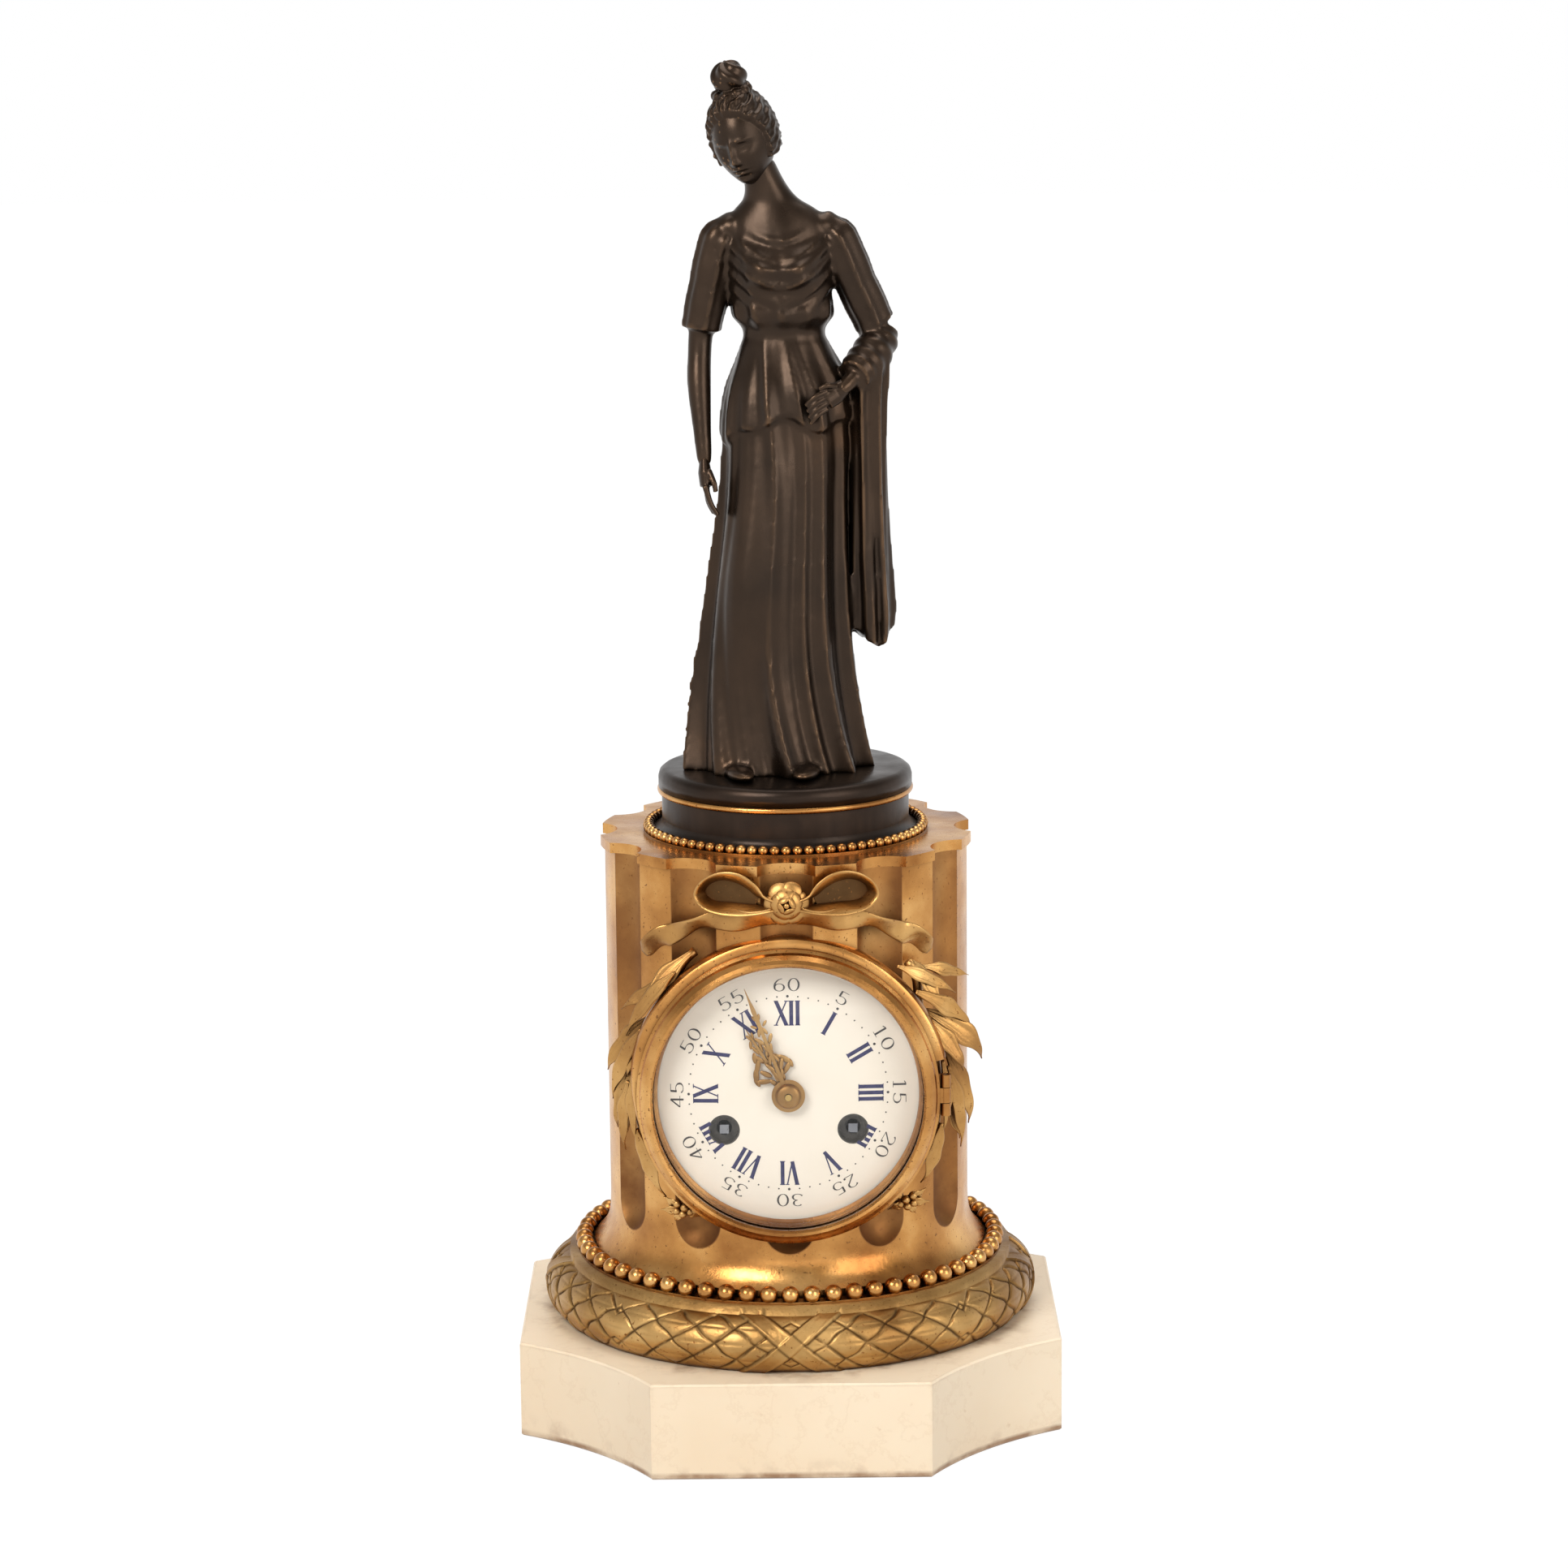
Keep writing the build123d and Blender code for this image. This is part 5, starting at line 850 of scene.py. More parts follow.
# lobes: along, aside, half length, half width, lean; spine: along, half width; rings: radii, back, front
hourHand = {
    "node": "hour_hand", "level": 61.1, "thick": 0.7, "set": 31.8,
    "lobes": [
        (5.8, 1.7, 1.9, 0.8, 25), (8.0, 4.4, 2.7, 0.9, 64), (8.8, 6.5, 1.6, 0.7, 8), (9.8, 2.4, 2.2, 0.9, 35),
        (11.0, 5.5, 2.4, 1.0, -28), (12.4, 0.0, 2.2, 1.1, 0), (13.4, 3.4, 2.5, 0.9, -42), (15.0, 1.5, 1.9, 0.8, 20),
        (16.4, 2.7, 1.9, 0.8, -25), (18.4, 1.0, 1.8, 0.6, 12), (20.8, 1.4, 1.5, 0.6, -30), (23.2, 0.7, 1.3, 0.5, 15)],
    "spine": [(4.4, 0.9), (8.0, 0.6), (14.0, 0.5), (20.0, 0.45), (26.0, 0.08)],
    "rings": [(2.75, 5.0, 61.1, 61.8)],
}
minuteHand = {
    "node": "minute_hand", "level": 62.7, "thick": 0.7, "set": 21.2,
    "lobes": [
        (8.0, 1.0, 1.8, 0.6, 15), (11.0, 1.9, 2.0, 0.7, 30), (13.4, 1.1, 1.6, 0.6, -20), (17.5, 0.8, 1.5, 0.6, 15),
        (20.4, 1.7, 1.8, 0.7, 35), (23.4, 1.0, 1.5, 0.6, -20), (25.8, 1.9, 1.2, 0.5, 50), (28.4, 0.8, 1.2, 0.5, 20)],
    "spine": [(3.0, 0.8), (9.0, 0.6), (18.0, 0.55), (27.0, 0.65), (31.0, 0.75), (34.0, 0.40), (39.0, 0.06)],
    "rings": [(1.25, 5.5, 62.7, 63.3), (1.25, 4.1, 63.3, 65.0)],
}
addHand("hourHand", hourHand)
addHand("minuteHand", minuteHand)
print("stage: hands")


# ribbon bow on the column

columnRadius = 61.5


def columnDepth(x):
    return math.sqrt(max(0.0, columnRadius ** 2 - x * x))


def rounded(value, power):
    return math.copysign(abs(value) ** power, value)


def addRibbon(bm, path, wides, wide, thick):
    # band with rounded edges; path and width directions are dial-side points
    rings = []
    for i, (spot, ahead) in enumerate(zip(path, headings(path))):
        across = (wides[i] - ahead * wides[i].dot(ahead)).normalized()
        upward = ahead.cross(across).normalized()
        size = wide(i / (len(path) - 1))
        ring = []
        for turn in circle(16):
            flat, deep = size / 2 * rounded(math.cos(turn), 0.6), thick / 2 * rounded(math.sin(turn), 0.8)
            ring.append(face(*(spot + across * flat + upward * deep)))
        rings.append(ring)
    addLoft(bm, rings)


def curvePoints(points, count):
    # even points on a smooth line through the given ones
    rows = [Vector(p) for p in points]
    spots = []
    for i in range(count):
        at = i / (count - 1) * (len(rows) - 1)
        k = min(int(at), len(rows) - 2)
        t = at - k
        a, b, c, d = rows[max(k - 1, 0)], rows[k], rows[k + 1], rows[min(k + 2, len(rows) - 1)]
        spot = 2 * b + (c - a) * t + (2 * a - 5 * b + 4 * c - d) * t * t
        spots.append(0.5 * (spot + (3 * b - a - 3 * c + d) * t ** 3))
    return spots


def addPetal(bm, spot, sizes, turn=Matrix.Identity(4)):
    for vert in addBall(bm, spot, sizes, 16, 10, turn):
        vert.co = face(*vert.co)


def addBow():
    bow = {
        "rise": 65.2, "wide": 6.6, "thick": 1.1, "middle": Vector((18.0, 3.4)), "loopLift": 3.6, "loopShadeLift": 1.2,
        "loop": [(3.0, 0.6), (8.0, 2.4), (11.6, 5.8), (16.0, 8.2), (21.5, 8.4), (26.2, 6.0), (28.2, 2.0), (25.0, -1.4),
                 (18.0, -2.4), (10.0, -2.2), (3.0, -1.2)],
        # right, up, lift from the column
        "tail": [(4.0, -4.2, 3.4), (13.0, -5.8, 2.8), (22.0, -6.2, 2.6), (30.0, -8.2, 3.6), (37.0, -12.6, 2.0),
                 (42.5, -15.4, 3.2), (47.0, -21.5, 1.6)],
        # count, circle, lift, half sizes, tilt
        "petals": [(6, 5.0, 1.2, (2.7, 3.5, 1.0), 20), (5, 3.5, 2.6, (2.3, 3.0, 0.9), 34),
                   (4, 2.1, 3.8, (1.5, 2.1, 0.8), 52), (1, 0.0, 4.2, (1.1, 1.1, 1.1), 0)],
    }
    rise, middle = bow["rise"], bow["middle"]
    bm = bmesh.new()
    loopShade = bmesh.new()
    for side in (-1, 1):
        flat = curvePoints([(x, y, 0) for x, y in bow["loop"]], 64)
        path = [Vector((side * p.x, rise + p.y, columnDepth(p.x) + bow["loopLift"])) for p in flat]
        outs = [(p.xy - middle).normalized() * 0.62 for p in flat]
        wides = [Vector((side * out.x, out.y, 0.8)) for out in outs]
        addRibbon(bm, path, wides, lambda t: bow["wide"] * (0.5 + 0.5 * math.sin(math.pi * t) ** 0.5), bow["thick"])
        # dark pane behind each loop: painted shade in its hollow
        back = [middle + (p.xy - middle) * 0.92 for p in flat[6:-6]]
        pane = bmesh.ops.create_circle(loopShade, cap_ends=True, segments=len(back), radius=1.0)["verts"]
        for vert, p in zip(pane, back):
            vert.co = face(side * p.x, rise + p.y, columnDepth(p.x) + bow["loopShadeLift"])
        flat = curvePoints(bow["tail"], 48)
        path = [Vector((side * p.x, rise + p.y, columnDepth(p.x) + p.z)) for p in flat]
        wides = [Vector((side * 0.30, 0.85, 0.30 + 0.45 * math.sin(k * 0.34))) for k in range(len(flat))]
        addRibbon(bm, path, wides, lambda t: 7.0 + 1.4 * math.sin(t * 9) - 4.4 * smooth(0.88, 1.0, t), bow["thick"])
    center = columnDepth(0) + 2.6
    addPetal(bm, Vector((0, rise, center)), (7.0, 7.0, 2.4))
    for count, ring, lift, sizes, tilt in bow["petals"]:
        for k in range(count):
            angle = 360 * k / count + 90 + lift * 30
            x, y = onTurn(ring, angle)
            turn = Matrix.Rotation(math.radians(angle), 4, "Z") @ Matrix.Rotation(math.radians(tilt), 4, "Y")
            addPetal(bm, Vector((x, rise + y, center + lift)), sizes, turn)
    finishMesh("bowLoopShade", loopShade, loopShadeGilt)
    finishMesh("ribbonBow", bm, leafGilt, replaced=["ribbon_bow"])


addBow()
print("stage: bow")


# laurel branches beside the drum

def addLeaf(bm, root, tip, wide, bulge, hook=1.6):
    # long strap leaf with ribs and a curled tip; dial-side coordinates
    steps, around = 24, 28
    out = Vector((root.x + tip.x, root.y + tip.y, 0.0)).normalized()
    middle = (root + tip) / 2 + out * bulge + Vector((0, 0, 1.8))
    up = out * 0.5 + Vector((0, 0, 1.0))
    rings = []
    for i in range(steps + 1):
        t = i / steps
        ahead = ((middle - root) * (1 - t) + (tip - middle) * t).normalized()
        across = up.cross(ahead).normalized()
        upward = ahead.cross(across).normalized()
        curl = 0.5 * math.sin(9 * t + wide) * t - hook * smooth(0.7, 1.0, t) ** 2
        spot = root * (1 - t) ** 2 + middle * 2 * t * (1 - t) + tip * t * t + upward * curl
        taper = smooth(-0.2, 0.42, t) * (1 - 0.97 * smooth(0.46, 1.02, t)) * (1 + 0.13 * math.sin(15 * t + 3 * wide))
        half = 0.43 * wide * max(0.05, taper)
        ring = []
        for turn in circle(around):
            cx, cy = math.cos(turn), math.sin(turn)
            ribs = 0.16 * wide / 6 * (1 + math.cos(3 * math.pi * cx)) * (1 - t) ** 0.5 if cy > 0 else 0.0
            lift = 0.6 * cy * (1 - 0.5 * t) + ribs + 0.20 * half * cx * cx
            ring.append(face(*(spot + across * half * cx + upward * lift)))
        rings.append(ring)
    addLoft(bm, rings)


# leaves: root x, y, forward; tip x, y, forward; width, bulge
rightLaurel = {
    "node": "laurel_right", "side": 1, "top": 47.5, "foot": -46.0, "lift": 8.5, "berries": (38.6, -37.6),
    "leaves": [
        (40.0, 43.6, 54.0, 51.0, 26.4, 57.0, 6.0, 2.4), (44.0, 41.0, 53.0, 60.8, 35.4, 43.0, 5.0, 1.4),
        (45.4, 26.6, 55.5, 65.4, 7.4, 48.0, 8.4, 6.0), (46.4, 24.0, 57.2, 58.6, 5.8, 56.0, 7.0, 2.2),
        (51.4, 13.6, 54.0, 60.6, -14.4, 49.0, 7.2, 3.4), (50.8, 10.0, 56.8, 51.4, -15.8, 56.0, 4.4, 2.2),
        (50.4, -11.6, 56.0, 44.0, -33.0, 55.0, 6.0, 1.4), (48.0, 20.0, 52.0, 60.0, 16.0, 45.0, 5.6, 1.0),
        (51.0, -2.0, 52.5, 57.4, -20.0, 47.0, 5.6, 1.6), (36.0, 42.6, 59.6, 56.0, 31.6, 52.0, 5.4, 1.6),
        (42.0, 34.0, 59.8, 61.4, 19.6, 50.0, 6.6, 3.4), (52.6, 8.0, 56.6, 57.6, -22.0, 50.0, 5.4, 2.6)],
}
leftLaurel = {
    "node": "laurel_left", "side": -1, "top": 57.5, "foot": -47.0, "lift": 6.0, "berries": (-34.8, -39.6),
    "leaves": [
        (-30.6, 47.2, 55.0, -50.0, 25.6, 57.0, 7.0, 3.2), (-37.0, 37.6, 55.0, -55.4, 26.6, 50.0, 5.6, 2.0),
        (-45.0, 25.6, 55.6, -60.8, 5.0, 48.0, 7.4, 2.6), (-46.2, 23.0, 57.2, -53.6, 4.6, 56.0, 6.6, 1.2),
        (-51.0, 9.4, 54.6, -57.4, -14.4, 49.5, 6.8, 1.8), (-51.0, 7.0, 57.0, -50.8, -17.4, 56.2, 4.8, 1.2),
        (-50.2, -12.4, 56.0, -41.2, -37.0, 55.0, 6.0, 1.4), (-50.6, 12.0, 51.0, -58.0, -2.0, 44.0, 5.4, 1.6),
        (-51.0, -3.0, 52.0, -55.6, -20.0, 46.0, 5.2, 1.2), (-36.6, 41.4, 59.6, -53.8, 18.6, 55.0, 5.6, 3.0),
        (-48.0, 22.0, 58.8, -58.6, -4.0, 51.0, 5.8, 3.2), (-52.6, 4.0, 56.6, -54.6, -22.0, 50.0, 5.2, 2.0)],
}
branch = {
    "circle": 49.8, "depth": 55.0, "stem": 1.6, "steps": 40, "berry": 1.5, "sprigRoot": 54.6, "sprigTip": 55.4,
    # right, up, length
    "sprig": [(7.0, 3.4, 7.0), (8.0, -1.2, 7.0), (3.6, -5.4, 6.0), (-5.8, -4.0, 7.0), (-8.2, 0.6, 6.6)],
    "cluster": [(0.0, 0.0, 56.6), (2.4, 1.2, 56.0), (-2.2, 1.4, 56.0), (0.6, -2.4, 56.0), (-1.8, -1.6, 55.8),
                (2.6, -1.4, 55.6)],
}


def addLaurel(name, laurel):
    bm = bmesh.new()
    side = laurel["side"]
    path = []
    sizes = []
    for i in range(branch["steps"] + 1):
        t = i / branch["steps"]
        reach = branch["circle"] + laurel["lift"] * smooth(0.8, 1.0, t) + 0.5 * math.sin(t * 9)
        x, y = onTurn(reach, lerp(laurel["foot"], laurel["top"], t))
        path.append(face(side * x, y, branch["depth"] + 0.8 * math.sin(t * 6)))
        sizes.append(lerp(0.9, branch["stem"], smooth(0.0, 0.5, t)) * mm)
    addTube(bm, path, sizes, 12)
    for row in laurel["leaves"]:
        addLeaf(bm, Vector(row[:3]), Vector(row[3:6]), *row[6:])
    bx, by = laurel["berries"]
    for x, y, long in branch["sprig"]:
        tip = Vector((bx + side * x, by + y, branch["sprigTip"]))
        addLeaf(bm, Vector((bx, by, branch["sprigRoot"])), tip, long * 0.55, 0.4, 0.5)
    for x, y, d in branch["cluster"]:
        addPetal(bm, Vector((bx + side * x, by + y, d)), (branch["berry"],) * 3)
    finishMesh(name, bm, leafGilt, replaced=[laurel["node"]])


addLaurel("laurelRight", rightLaurel)
addLaurel("laurelLeft", leftLaurel)
print("stage: laurels")


# bronze figure: a draped standing woman

groundZ = 220.4


def spot3(x, y, z):
    # figure space: right, back, up from the terrace; millimetres
    return Vector((x * mm, y * mm, (groundZ + z) * mm))


def remeshed(name, bm, voxel, rounds, factor=0.5):
    # one closed skin over all the lofts
    bmesh.ops.recalc_face_normals(bm, faces=bm.faces)
    mesh = meshFrom(name, bm)
    rough = addObject(name + "Rough", mesh)
    modifier = rough.modifiers.new("skin", "REMESH")
    modifier.mode = "VOXEL"
    modifier.voxel_size = voxel * mm
    skin = bpy.data.meshes.new_from_object(rough.evaluated_get(bpy.context.evaluated_depsgraph_get()))
    bpy.data.objects.remove(rough)
    bpy.data.meshes.remove(mesh)
    bm = bmesh.new()
    bm.from_mesh(skin)
    for _ in range(rounds):
        bmesh.ops.smooth_vert(bm, verts=bm.verts, factor=factor, use_axis_x=True, use_axis_y=True, use_axis_z=True)
    bpy.data.meshes.remove(skin)
    return bm


gown = {
    # height, middle x, middle y, half width, half depth, fold depth
    "rows": [
        (0, -2.0, 0.5, 31.5, 26.0, 4.6), (12, -2.0, 0.5, 29.5, 24.0, 4.2), (36, -1.5, 0.0, 26.5, 21.0, 3.5),
        (62, -0.5, -0.5, 23.8, 18.8, 2.9), (88, 0.8, -0.5, 21.6, 17.0, 2.2), (112, 2.0, 0.0, 21.0, 16.0, 1.5),
        (128, 2.2, 0.2, 19.6, 14.6, 1.1), (138, 1.6, 0.0, 16.4, 12.2, 0.8), (146, 1.0, -0.3, 14.2, 10.6, 0.4),
        (156, 0.4, -0.4, 15.4, 11.4, 0.5), (168, 0.0, -0.6, 16.8, 12.2, 0.5), (177, -0.4, 0.2, 17.4, 11.0, 0.3),
        (183, -0.8, 0.6, 16.6, 9.6, 0.1), (187, -1.6, 0.8, 13.0, 8.6, 0.0), (190, -2.8, 0.6, 9.2, 7.6, 0.0),
        (195, -4.6, 0.0, 6.9, 6.8, 0.0), (203, -8.0, -1.2, 6.2, 6.4, 0.0)],
    # folds: count, share, phase
    "folds": ((9, 0.50, 0.4), (14, 0.32, 1.7), (23, 0.20, 2.9)),
    "rings": 220, "around": 180, "top": 203, "hem": 116.0, "belt": 146.0, "shoulder": 186, "knee": math.radians(-118),
}


def wrapTurn(turn):
    return (turn + math.pi) % fullTurn - math.pi


def gownRadius(turn, z, fold):
    # folds hang from belt and hem; the free knee pulls them smooth
    belt = gown["belt"]
    knee = wrapTurn(turn - gown["knee"])
    drift = 0.10 * math.sin(z * 0.045) + 0.004 * z
    hang = 0.0
    for count, share, phase in gown["folds"]:
        wave = count * (turn + drift) + phase + 0.6 * math.sin(turn * 2 + phase)
        hang += share * (1.0 - 2.0 * abs(math.sin(0.5 * wave)) ** 0.75)
    grow = fold * hang * (1.0 - 0.8 * (bump(knee, 0, 0.55) * bump(z, 66, 40)))
    grow += 5.0 * bump(knee, 0, 0.42) * bump(z, 64, 24)
    grow += 2.2 * bump(knee, 0, 0.50) * bump(z, 96, 22)
    hem = gown["hem"] + 2.6 * math.sin(3 * turn + 0.8) + 1.5 * math.sin(7 * turn) + 5.0 * math.cos(turn) * 0.6
    over = smooth(hem - 0.7, hem + 0.7, z) * (1 - smooth(hem + 6, belt - 2, z))
    grow += over * (2.0 + 0.5 * math.sin(16 * turn + 0.05 * z))
    grow += 1.2 * bump(z, belt + 6.5, 4.0) * (1 + 0.5 * math.sin(11 * turn))
    grow -= 1.0 * bump(z, belt, 2.0) - 0.5 * bump(z, belt, 0.8)
    chest = smooth(152, 158, z) * (1 - smooth(176, 182, z))
    front = smooth(0.15, -0.35, math.sin(turn))
    sway = math.cos(turn) ** 2
    swag = math.sin(1.25 * (z - 10.0 * sway)) + 0.4 * math.sin(2.1 * (z - 12.0 * sway) + 1.0)
    grow += chest * (0.55 * front * swag + 0.4 * (1 - front) * math.sin(13 * turn + 0.1 * z))
    neck = 177.5 - 6.5 * bump(wrapTurn(turn + math.pi / 2), 0, 0.6)
    return grow + 1.0 * smooth(148, 152, z) * (1 - smooth(neck - 0.5, neck + 0.5, z))


def addGown(bm):
    rings = []
    for i in range(gown["rings"] + 1):
        z = gown["top"] * i / gown["rings"]
        cx, cy, wide, deep, fold = along(gown["rows"], z)
        ring = []
        for turn in circle(gown["around"]):
            grow = gownRadius(turn, z, fold) if z < gown["shoulder"] else 0.0
            x = cx + (wide + grow) * math.cos(turn)
            y = cy + (deep + grow) * math.sin(turn)
            for side in (-1, 1):
                y -= 4.0 * (bump(x, side * 7.4, 4.6) * bump(z, 166.5, 5.6) * (1.0 if y < 0 else 0.0))
            ring.append(spot3(x, y, z))
        rings.append(ring)
    addLoft(bm, rings)


def sleeveSwell(turn):
    return 1 + 0.06 * math.sin(8 * turn) + 0.03 * math.sin(13 * turn + 1)


def addArm(bm, rows):
    # bare arm, and a loose sleeve over its upper part
    steps, sleeveSteps = 40, 16
    path = [spot3(*p) for p in curvePoints([row[:3] for row in rows], steps)]
    sizes = [v.x * mm for v in curvePoints([(row[3], 0, 0) for row in rows], steps)]
    addTube(bm, path, sizes, 20)
    sleeve = []
    for i, size in enumerate(sizes[:sleeveSteps]):
        looser = lerp(-2.2, lerp(1.2, 2.5, i / (sleeveSteps - 1)), smooth(0, 5, i)) * mm
        sleeve.append((size + looser) * (1 + 0.02 * math.sin(i * 1.7)))
    addTube(bm, path[:sleeveSteps], sleeve, 48, swell=sleeveSwell)


def addFingers(bm, hand):
    # palm and five fingers
    palm = [spot3(*p) for p in hand["palm"]]
    addTube(bm, palm, [v * mm for v in hand["palmSizes"]], 16, hand["flat"], Vector(hand["side"]))
    for size, *points in hand["fingers"]:
        path = [spot3(*p) for p in curvePoints(points, 12)]
        addTube(bm, path, [lerp(size, size * 0.7, i / 11) * mm for i in range(12)], 10)


# right, back, up, radius
hangingArm = [
    (-14.0, 1.0, 182.0, 5.0), (-19.4, 1.0, 177.0, 5.4), (-23.0, 1.8, 163.0, 4.9), (-26.2, 2.6, 148.0, 4.2),
    (-27.0, 1.8, 139.0, 4.0), (-27.2, -0.8, 129.0, 4.0), (-26.4, -4.4, 115.0, 3.1), (-25.8, -6.2, 106.0, 2.6),
    (-25.7, -6.7, 102.5, 1.7)]
bentArm = [
    (13.0, 1.0, 182.5, 5.0), (18.6, 1.0, 177.0, 5.4), (24.6, 2.4, 163.0, 4.9), (31.0, 4.0, 149.0, 4.3),
    (32.6, 3.2, 143.5, 4.1), (29.0, -3.2, 137.0, 4.0), (23.4, -10.4, 131.5, 3.0), (20.6, -13.2, 129.0, 2.5),
    (18.6, -14.6, 127.9, 1.7)]
# fingers: size, then points
hangingHand = {
    "palm": [(-25.8, -6.2, 105.0), (-25.6, -7.2, 100.5), (-25.2, -8.2, 96.0)], "palmSizes": [2.6, 3.8, 3.5],
    "flat": 0.6, "side": (1, 0, 0),
    "fingers": [
        (1.1, (-25.2 - 0.1 * k, -5.4 - 1.9 * k, 96.5), (-24.6 + 0.3 * k, -6.0 - 2.0 * k, 90.8),
         (-22.8 + 0.5 * k, -6.2 - 1.9 * k, 86.8)) for k in range(4)
    ] + [(1.15, (-24.4, -9.4, 101.5), (-22.6, -11.6, 97.6), (-22.0, -12.0, 94.6))],
}
bentHand = {
    "palm": [(21.0, -12.8, 129.4), (17.6, -15.2, 127.2), (14.6, -16.6, 125.2)], "palmSizes": [2.6, 3.7, 3.4],
    "flat": 0.6, "side": (0.3, 1, 0.2),
    "fingers": [
        (1.1, (15.0, -17.0, 128.2 - 1.9 * k), (10.8 + 0.3 * k, -18.6, 126.4 - 2.0 * k),
         (8.0 + 0.5 * k, -18.0, 123.6 - 2.0 * k)) for k in range(4)
    ] + [(1.15, (18.0, -15.8, 129.6), (15.0, -18.0, 130.2), (12.4, -18.0, 129.0))],
}


def addShawl(bm):
    # cloth over the bent forearm, falling beside the hip
    shawl = {
        # height, middle x, middle y, half width, half depth
        "rows": [
            (44, 30.0, 1.2, 6.2, 8.8), (52, 29.8, 1.0, 6.8, 9.4), (70, 29.2, 0.4, 6.4, 8.8), (95, 28.8, -0.6, 5.8, 8.0),
            (120, 28.6, -1.6, 6.0, 7.8), (136, 28.8, -2.4, 6.4, 7.6), (141, 28.6, -2.0, 5.2, 6.2)],
        "low": 44, "high": 141, "even": 70, "steps": 60, "around": 72, "saddleSteps": 35, "saddleAround": 28,
        "saddle": [
            (33.6, 5.0, 146.5), (32.4, 2.6, 142.8), (29.4, -2.6, 137.8), (26.2, -6.8, 134.4), (24.0, -9.6, 132.4)],
    }
    last = shawl["saddleSteps"]
    over = [spot3(*p) for p in curvePoints(shawl["saddle"], last + 1)]
    sizes = []
    for i in range(last + 1):
        sizes.append((5.2 + 1.5 * math.sin(math.pi * i / last) ** 0.6 + 0.45 * math.sin(i * 0.95)) * mm)
    addTube(bm, over, sizes, shawl["saddleAround"])
    rings = []
    for i in range(shawl["steps"] + 1):
        z = lerp(shawl["low"], shawl["high"], i / shawl["steps"])
        cx, cy, wide, deep = along(shawl["rows"], z)
        ragged = 1 - smooth(shawl["low"], shawl["even"], z)
        ring = []
        for turn in circle(shawl["around"]):
            grow = 1.0 + 0.15 * math.sin(7 * turn + 0.02 * z) + 0.10 * math.sin(12 * turn + 1 - 0.015 * z)
            x = cx + wide * grow * math.cos(turn)
            y = cy + deep * grow * math.sin(turn)
            ring.append(spot3(x, y, z + (2.6 * math.sin(2 * turn + 1) + 0.8 * math.sin(7 * turn)) * ragged))
        rings.append(ring)
    addLoft(bm, rings)


def addFigure():
    body = {
        # feet: right, back, turn; shoulders: right, back
        "feet": [(-15.0, -25.0, 0.3), (7.0, -24.0, -0.25)], "footSizes": (4.4 * mm, 9.0 * mm, 2.4 * mm),
        "shoulders": [(-15.75, 0.8), (13.5, 0.8)], "shoulderSizes": (6.0 * mm, 6.4 * mm, 4.6 * mm), "voxel": 0.76,
    }
    bm = bmesh.new()
    addGown(bm)
    addArm(bm, hangingArm)
    addArm(bm, bentArm)
    addShawl(bm)
    for x, y, turn in body["feet"]:
        addBall(bm, spot3(x, y, 2.0), body["footSizes"], 20, 12, Matrix.Rotation(turn, 4, "Z"))
    for x, y in body["shoulders"]:
        addBall(bm, spot3(x, y, 181.0), body["shoulderSizes"])
    bm = remeshed("figureBody", bm, body["voxel"], 4)
    finishMesh("drapedFigure", bm, bronze, replaced=["figure"])


def addHands():
    bm = bmesh.new()
    addFingers(bm, hangingHand)
    addFingers(bm, bentHand)
    finishMesh("figureHands", remeshed("figureHands", bm, 0.3, 2), bronze)


headPlace = Matrix.Translation(spot3(-11.4, -3.4, 210.2))
for degrees, axis in ((-12, "Y"), (-24, "Z"), (12, "X")):
    headPlace = headPlace @ Matrix.Rotation(math.radians(degrees), 4, axis)

features = [
    # x, z, rise, spread x, spread z; both sides where x is not zero
    (3.9, 2.2, 0.55, 2.6, 0.9), (3.8, 0.2, -1.35, 2.1, 1.3), (3.8, 0.0, 0.75, 1.5, 0.7), (0.0, 1.0, 0.9, 1.0, 2.2),
    (0.0, -2.0, 1.7, 1.0, 2.0), (0.0, -4.4, 2.3, 1.25, 1.2), (1.35, -5.0, 0.55, 0.8, 0.7), (0.0, -7.2, 0.75, 2.0, 0.55),
    (0.0, -8.15, -0.55, 2.3, 0.32), (0.0, -8.9, 0.8, 1.7, 0.6), (0.0, -10.2, -0.45, 2.4, 0.6),
    (0.0, -12.4, 1.2, 2.5, 1.7), (5.4, -3.6, 0.55, 2.4, 2.4),
]


def headPoint(n):
    # egg with a narrower jaw; the face looks along -y
    x, y, z = 10.4 * n.x, 12.6 * n.y, 15.2 * n.z
    jaw = max(0.0, -n.z)
    x *= 1 - 0.30 * jaw ** 1.6
    y = y * (1 - 0.10 * jaw) - 1.4 * jaw
    if n.y < 0:
        front = smooth(0.0, 0.5, -n.y)
        y += 0.9 * front * (1 - jaw)
        for fx, fz, rise, sx, sz in features:
            for side in ((1, -1) if fx else (1,)):
                y -= front * rise * bump(x, side * fx, sx) * bump(z, fz, sz)
    return Vector((x, y, z))


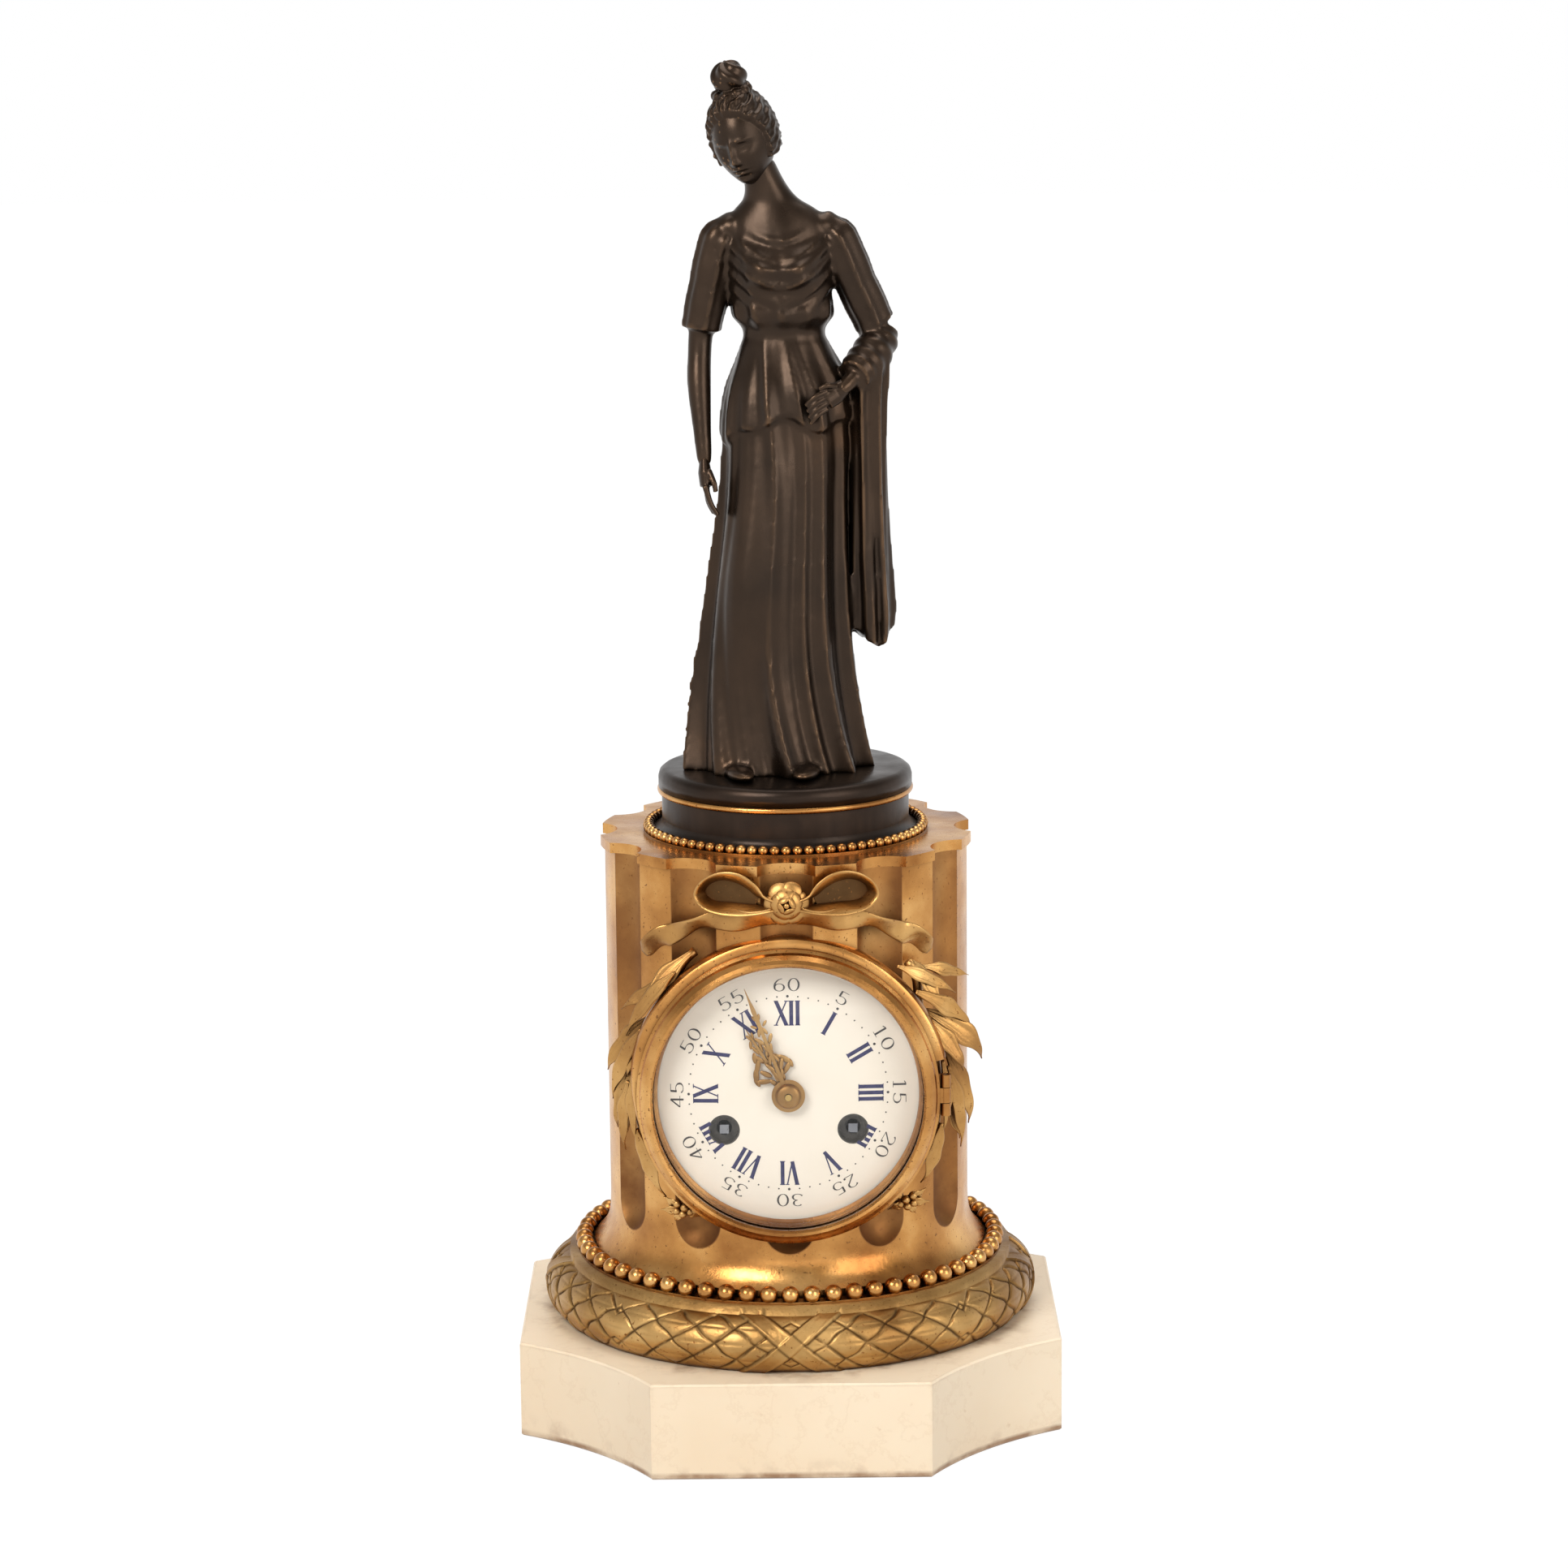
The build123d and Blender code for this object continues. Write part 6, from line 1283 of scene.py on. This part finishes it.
def hairPoint(n):
    # waved strands, drawn in under the face and at the nape
    line = n.y + 0.55 * max(0.0, n.z) ** 1.4 - 0.30 * (1 - abs(n.x)) * max(0.0, 0.5 - n.z)
    shown = smooth(-0.52, -0.30, line) * smooth(-0.62, -0.40, n.z)
    turn = math.atan2(n.x, n.z + 0.25)
    strand = math.sin(26 * turn + 2.6 * math.sin(7.0 * n.y)) + 0.5 * math.sin(47 * turn + 4.0 * n.y)
    size = lerp(0.82, 1.10 + 0.028 * strand, shown)
    return Vector((10.4 * n.x, 12.8 * n.y + 0.3, 15.2 * n.z + 0.4)) * size


def knotPoint(n):
    swirl = math.sin(5 * math.atan2(n.y, n.x) + 5.0 * n.z)
    return Vector((0.6, 1.6, 20.4)) + Vector((5.8 * n.x, 5.8 * n.y, 5.4 * n.z)) * (1 + 0.07 * swirl)


def addHead():
    bm = bmesh.new()
    for place, subdivisions in ((headPoint, 6), (hairPoint, 6), (knotPoint, 5)):
        for vert in bmesh.ops.create_icosphere(bm, subdivisions=subdivisions, radius=1.0)["verts"]:
            vert.co = place(vert.co.normalized())
    turns = [k * math.pi / 16 for k in range(33)]
    braid = [Vector((5.4 * math.cos(turn), 1.6 + 4.9 * math.sin(turn), 15.6)) for turn in turns]
    addTube(bm, braid, [1.6 + 0.35 * math.sin(k * 1.9) for k in range(33)], 12, side=Vector(upright))
    for vert in addBall(bm, Vector((0, 12.2, -3.0)), (6.0, 4.2, 4.6), 28, 18):
        vert.co += Vector((0, 0.35, 0)) * math.sin(vert.co.x * 2.2)
    for vert in bm.verts:
        vert.co = headPlace @ (vert.co * mm)
    finishMesh("figureHead", remeshed("figureHead", bm, 0.26, 1, 0.4), bronze)


def addTerrace():
    # round ground under the figure, softly uneven
    terrace = {
        "outline": [
            (0.0, 214.2), (42.8, 214.2), (42.8, 217.6), (42.3, 219.2), (41.2, 220.1), (39.8, 220.4), (34.0, 220.5),
            (24.0, 220.7), (12.0, 220.6), (0.0, 220.6)],
        "steps": 180, "swell": 0.25, "uneven": 220.45,
    }
    bm = bmesh.new()
    spinProfile(bm, [Vector((r, 0, z)) * mm for r, z in terrace["outline"]], upright, origin, terrace["steps"])
    for vert in bm.verts:
        if vert.co.z > terrace["uneven"] * mm:
            vert.co.z += terrace["swell"] * mm * noise.noise(vert.co * 60)
    finishMesh("terrace", bm, socleBronze)


addFigure()
addHands()
addHead()
addTerrace()
print("stage: figure")
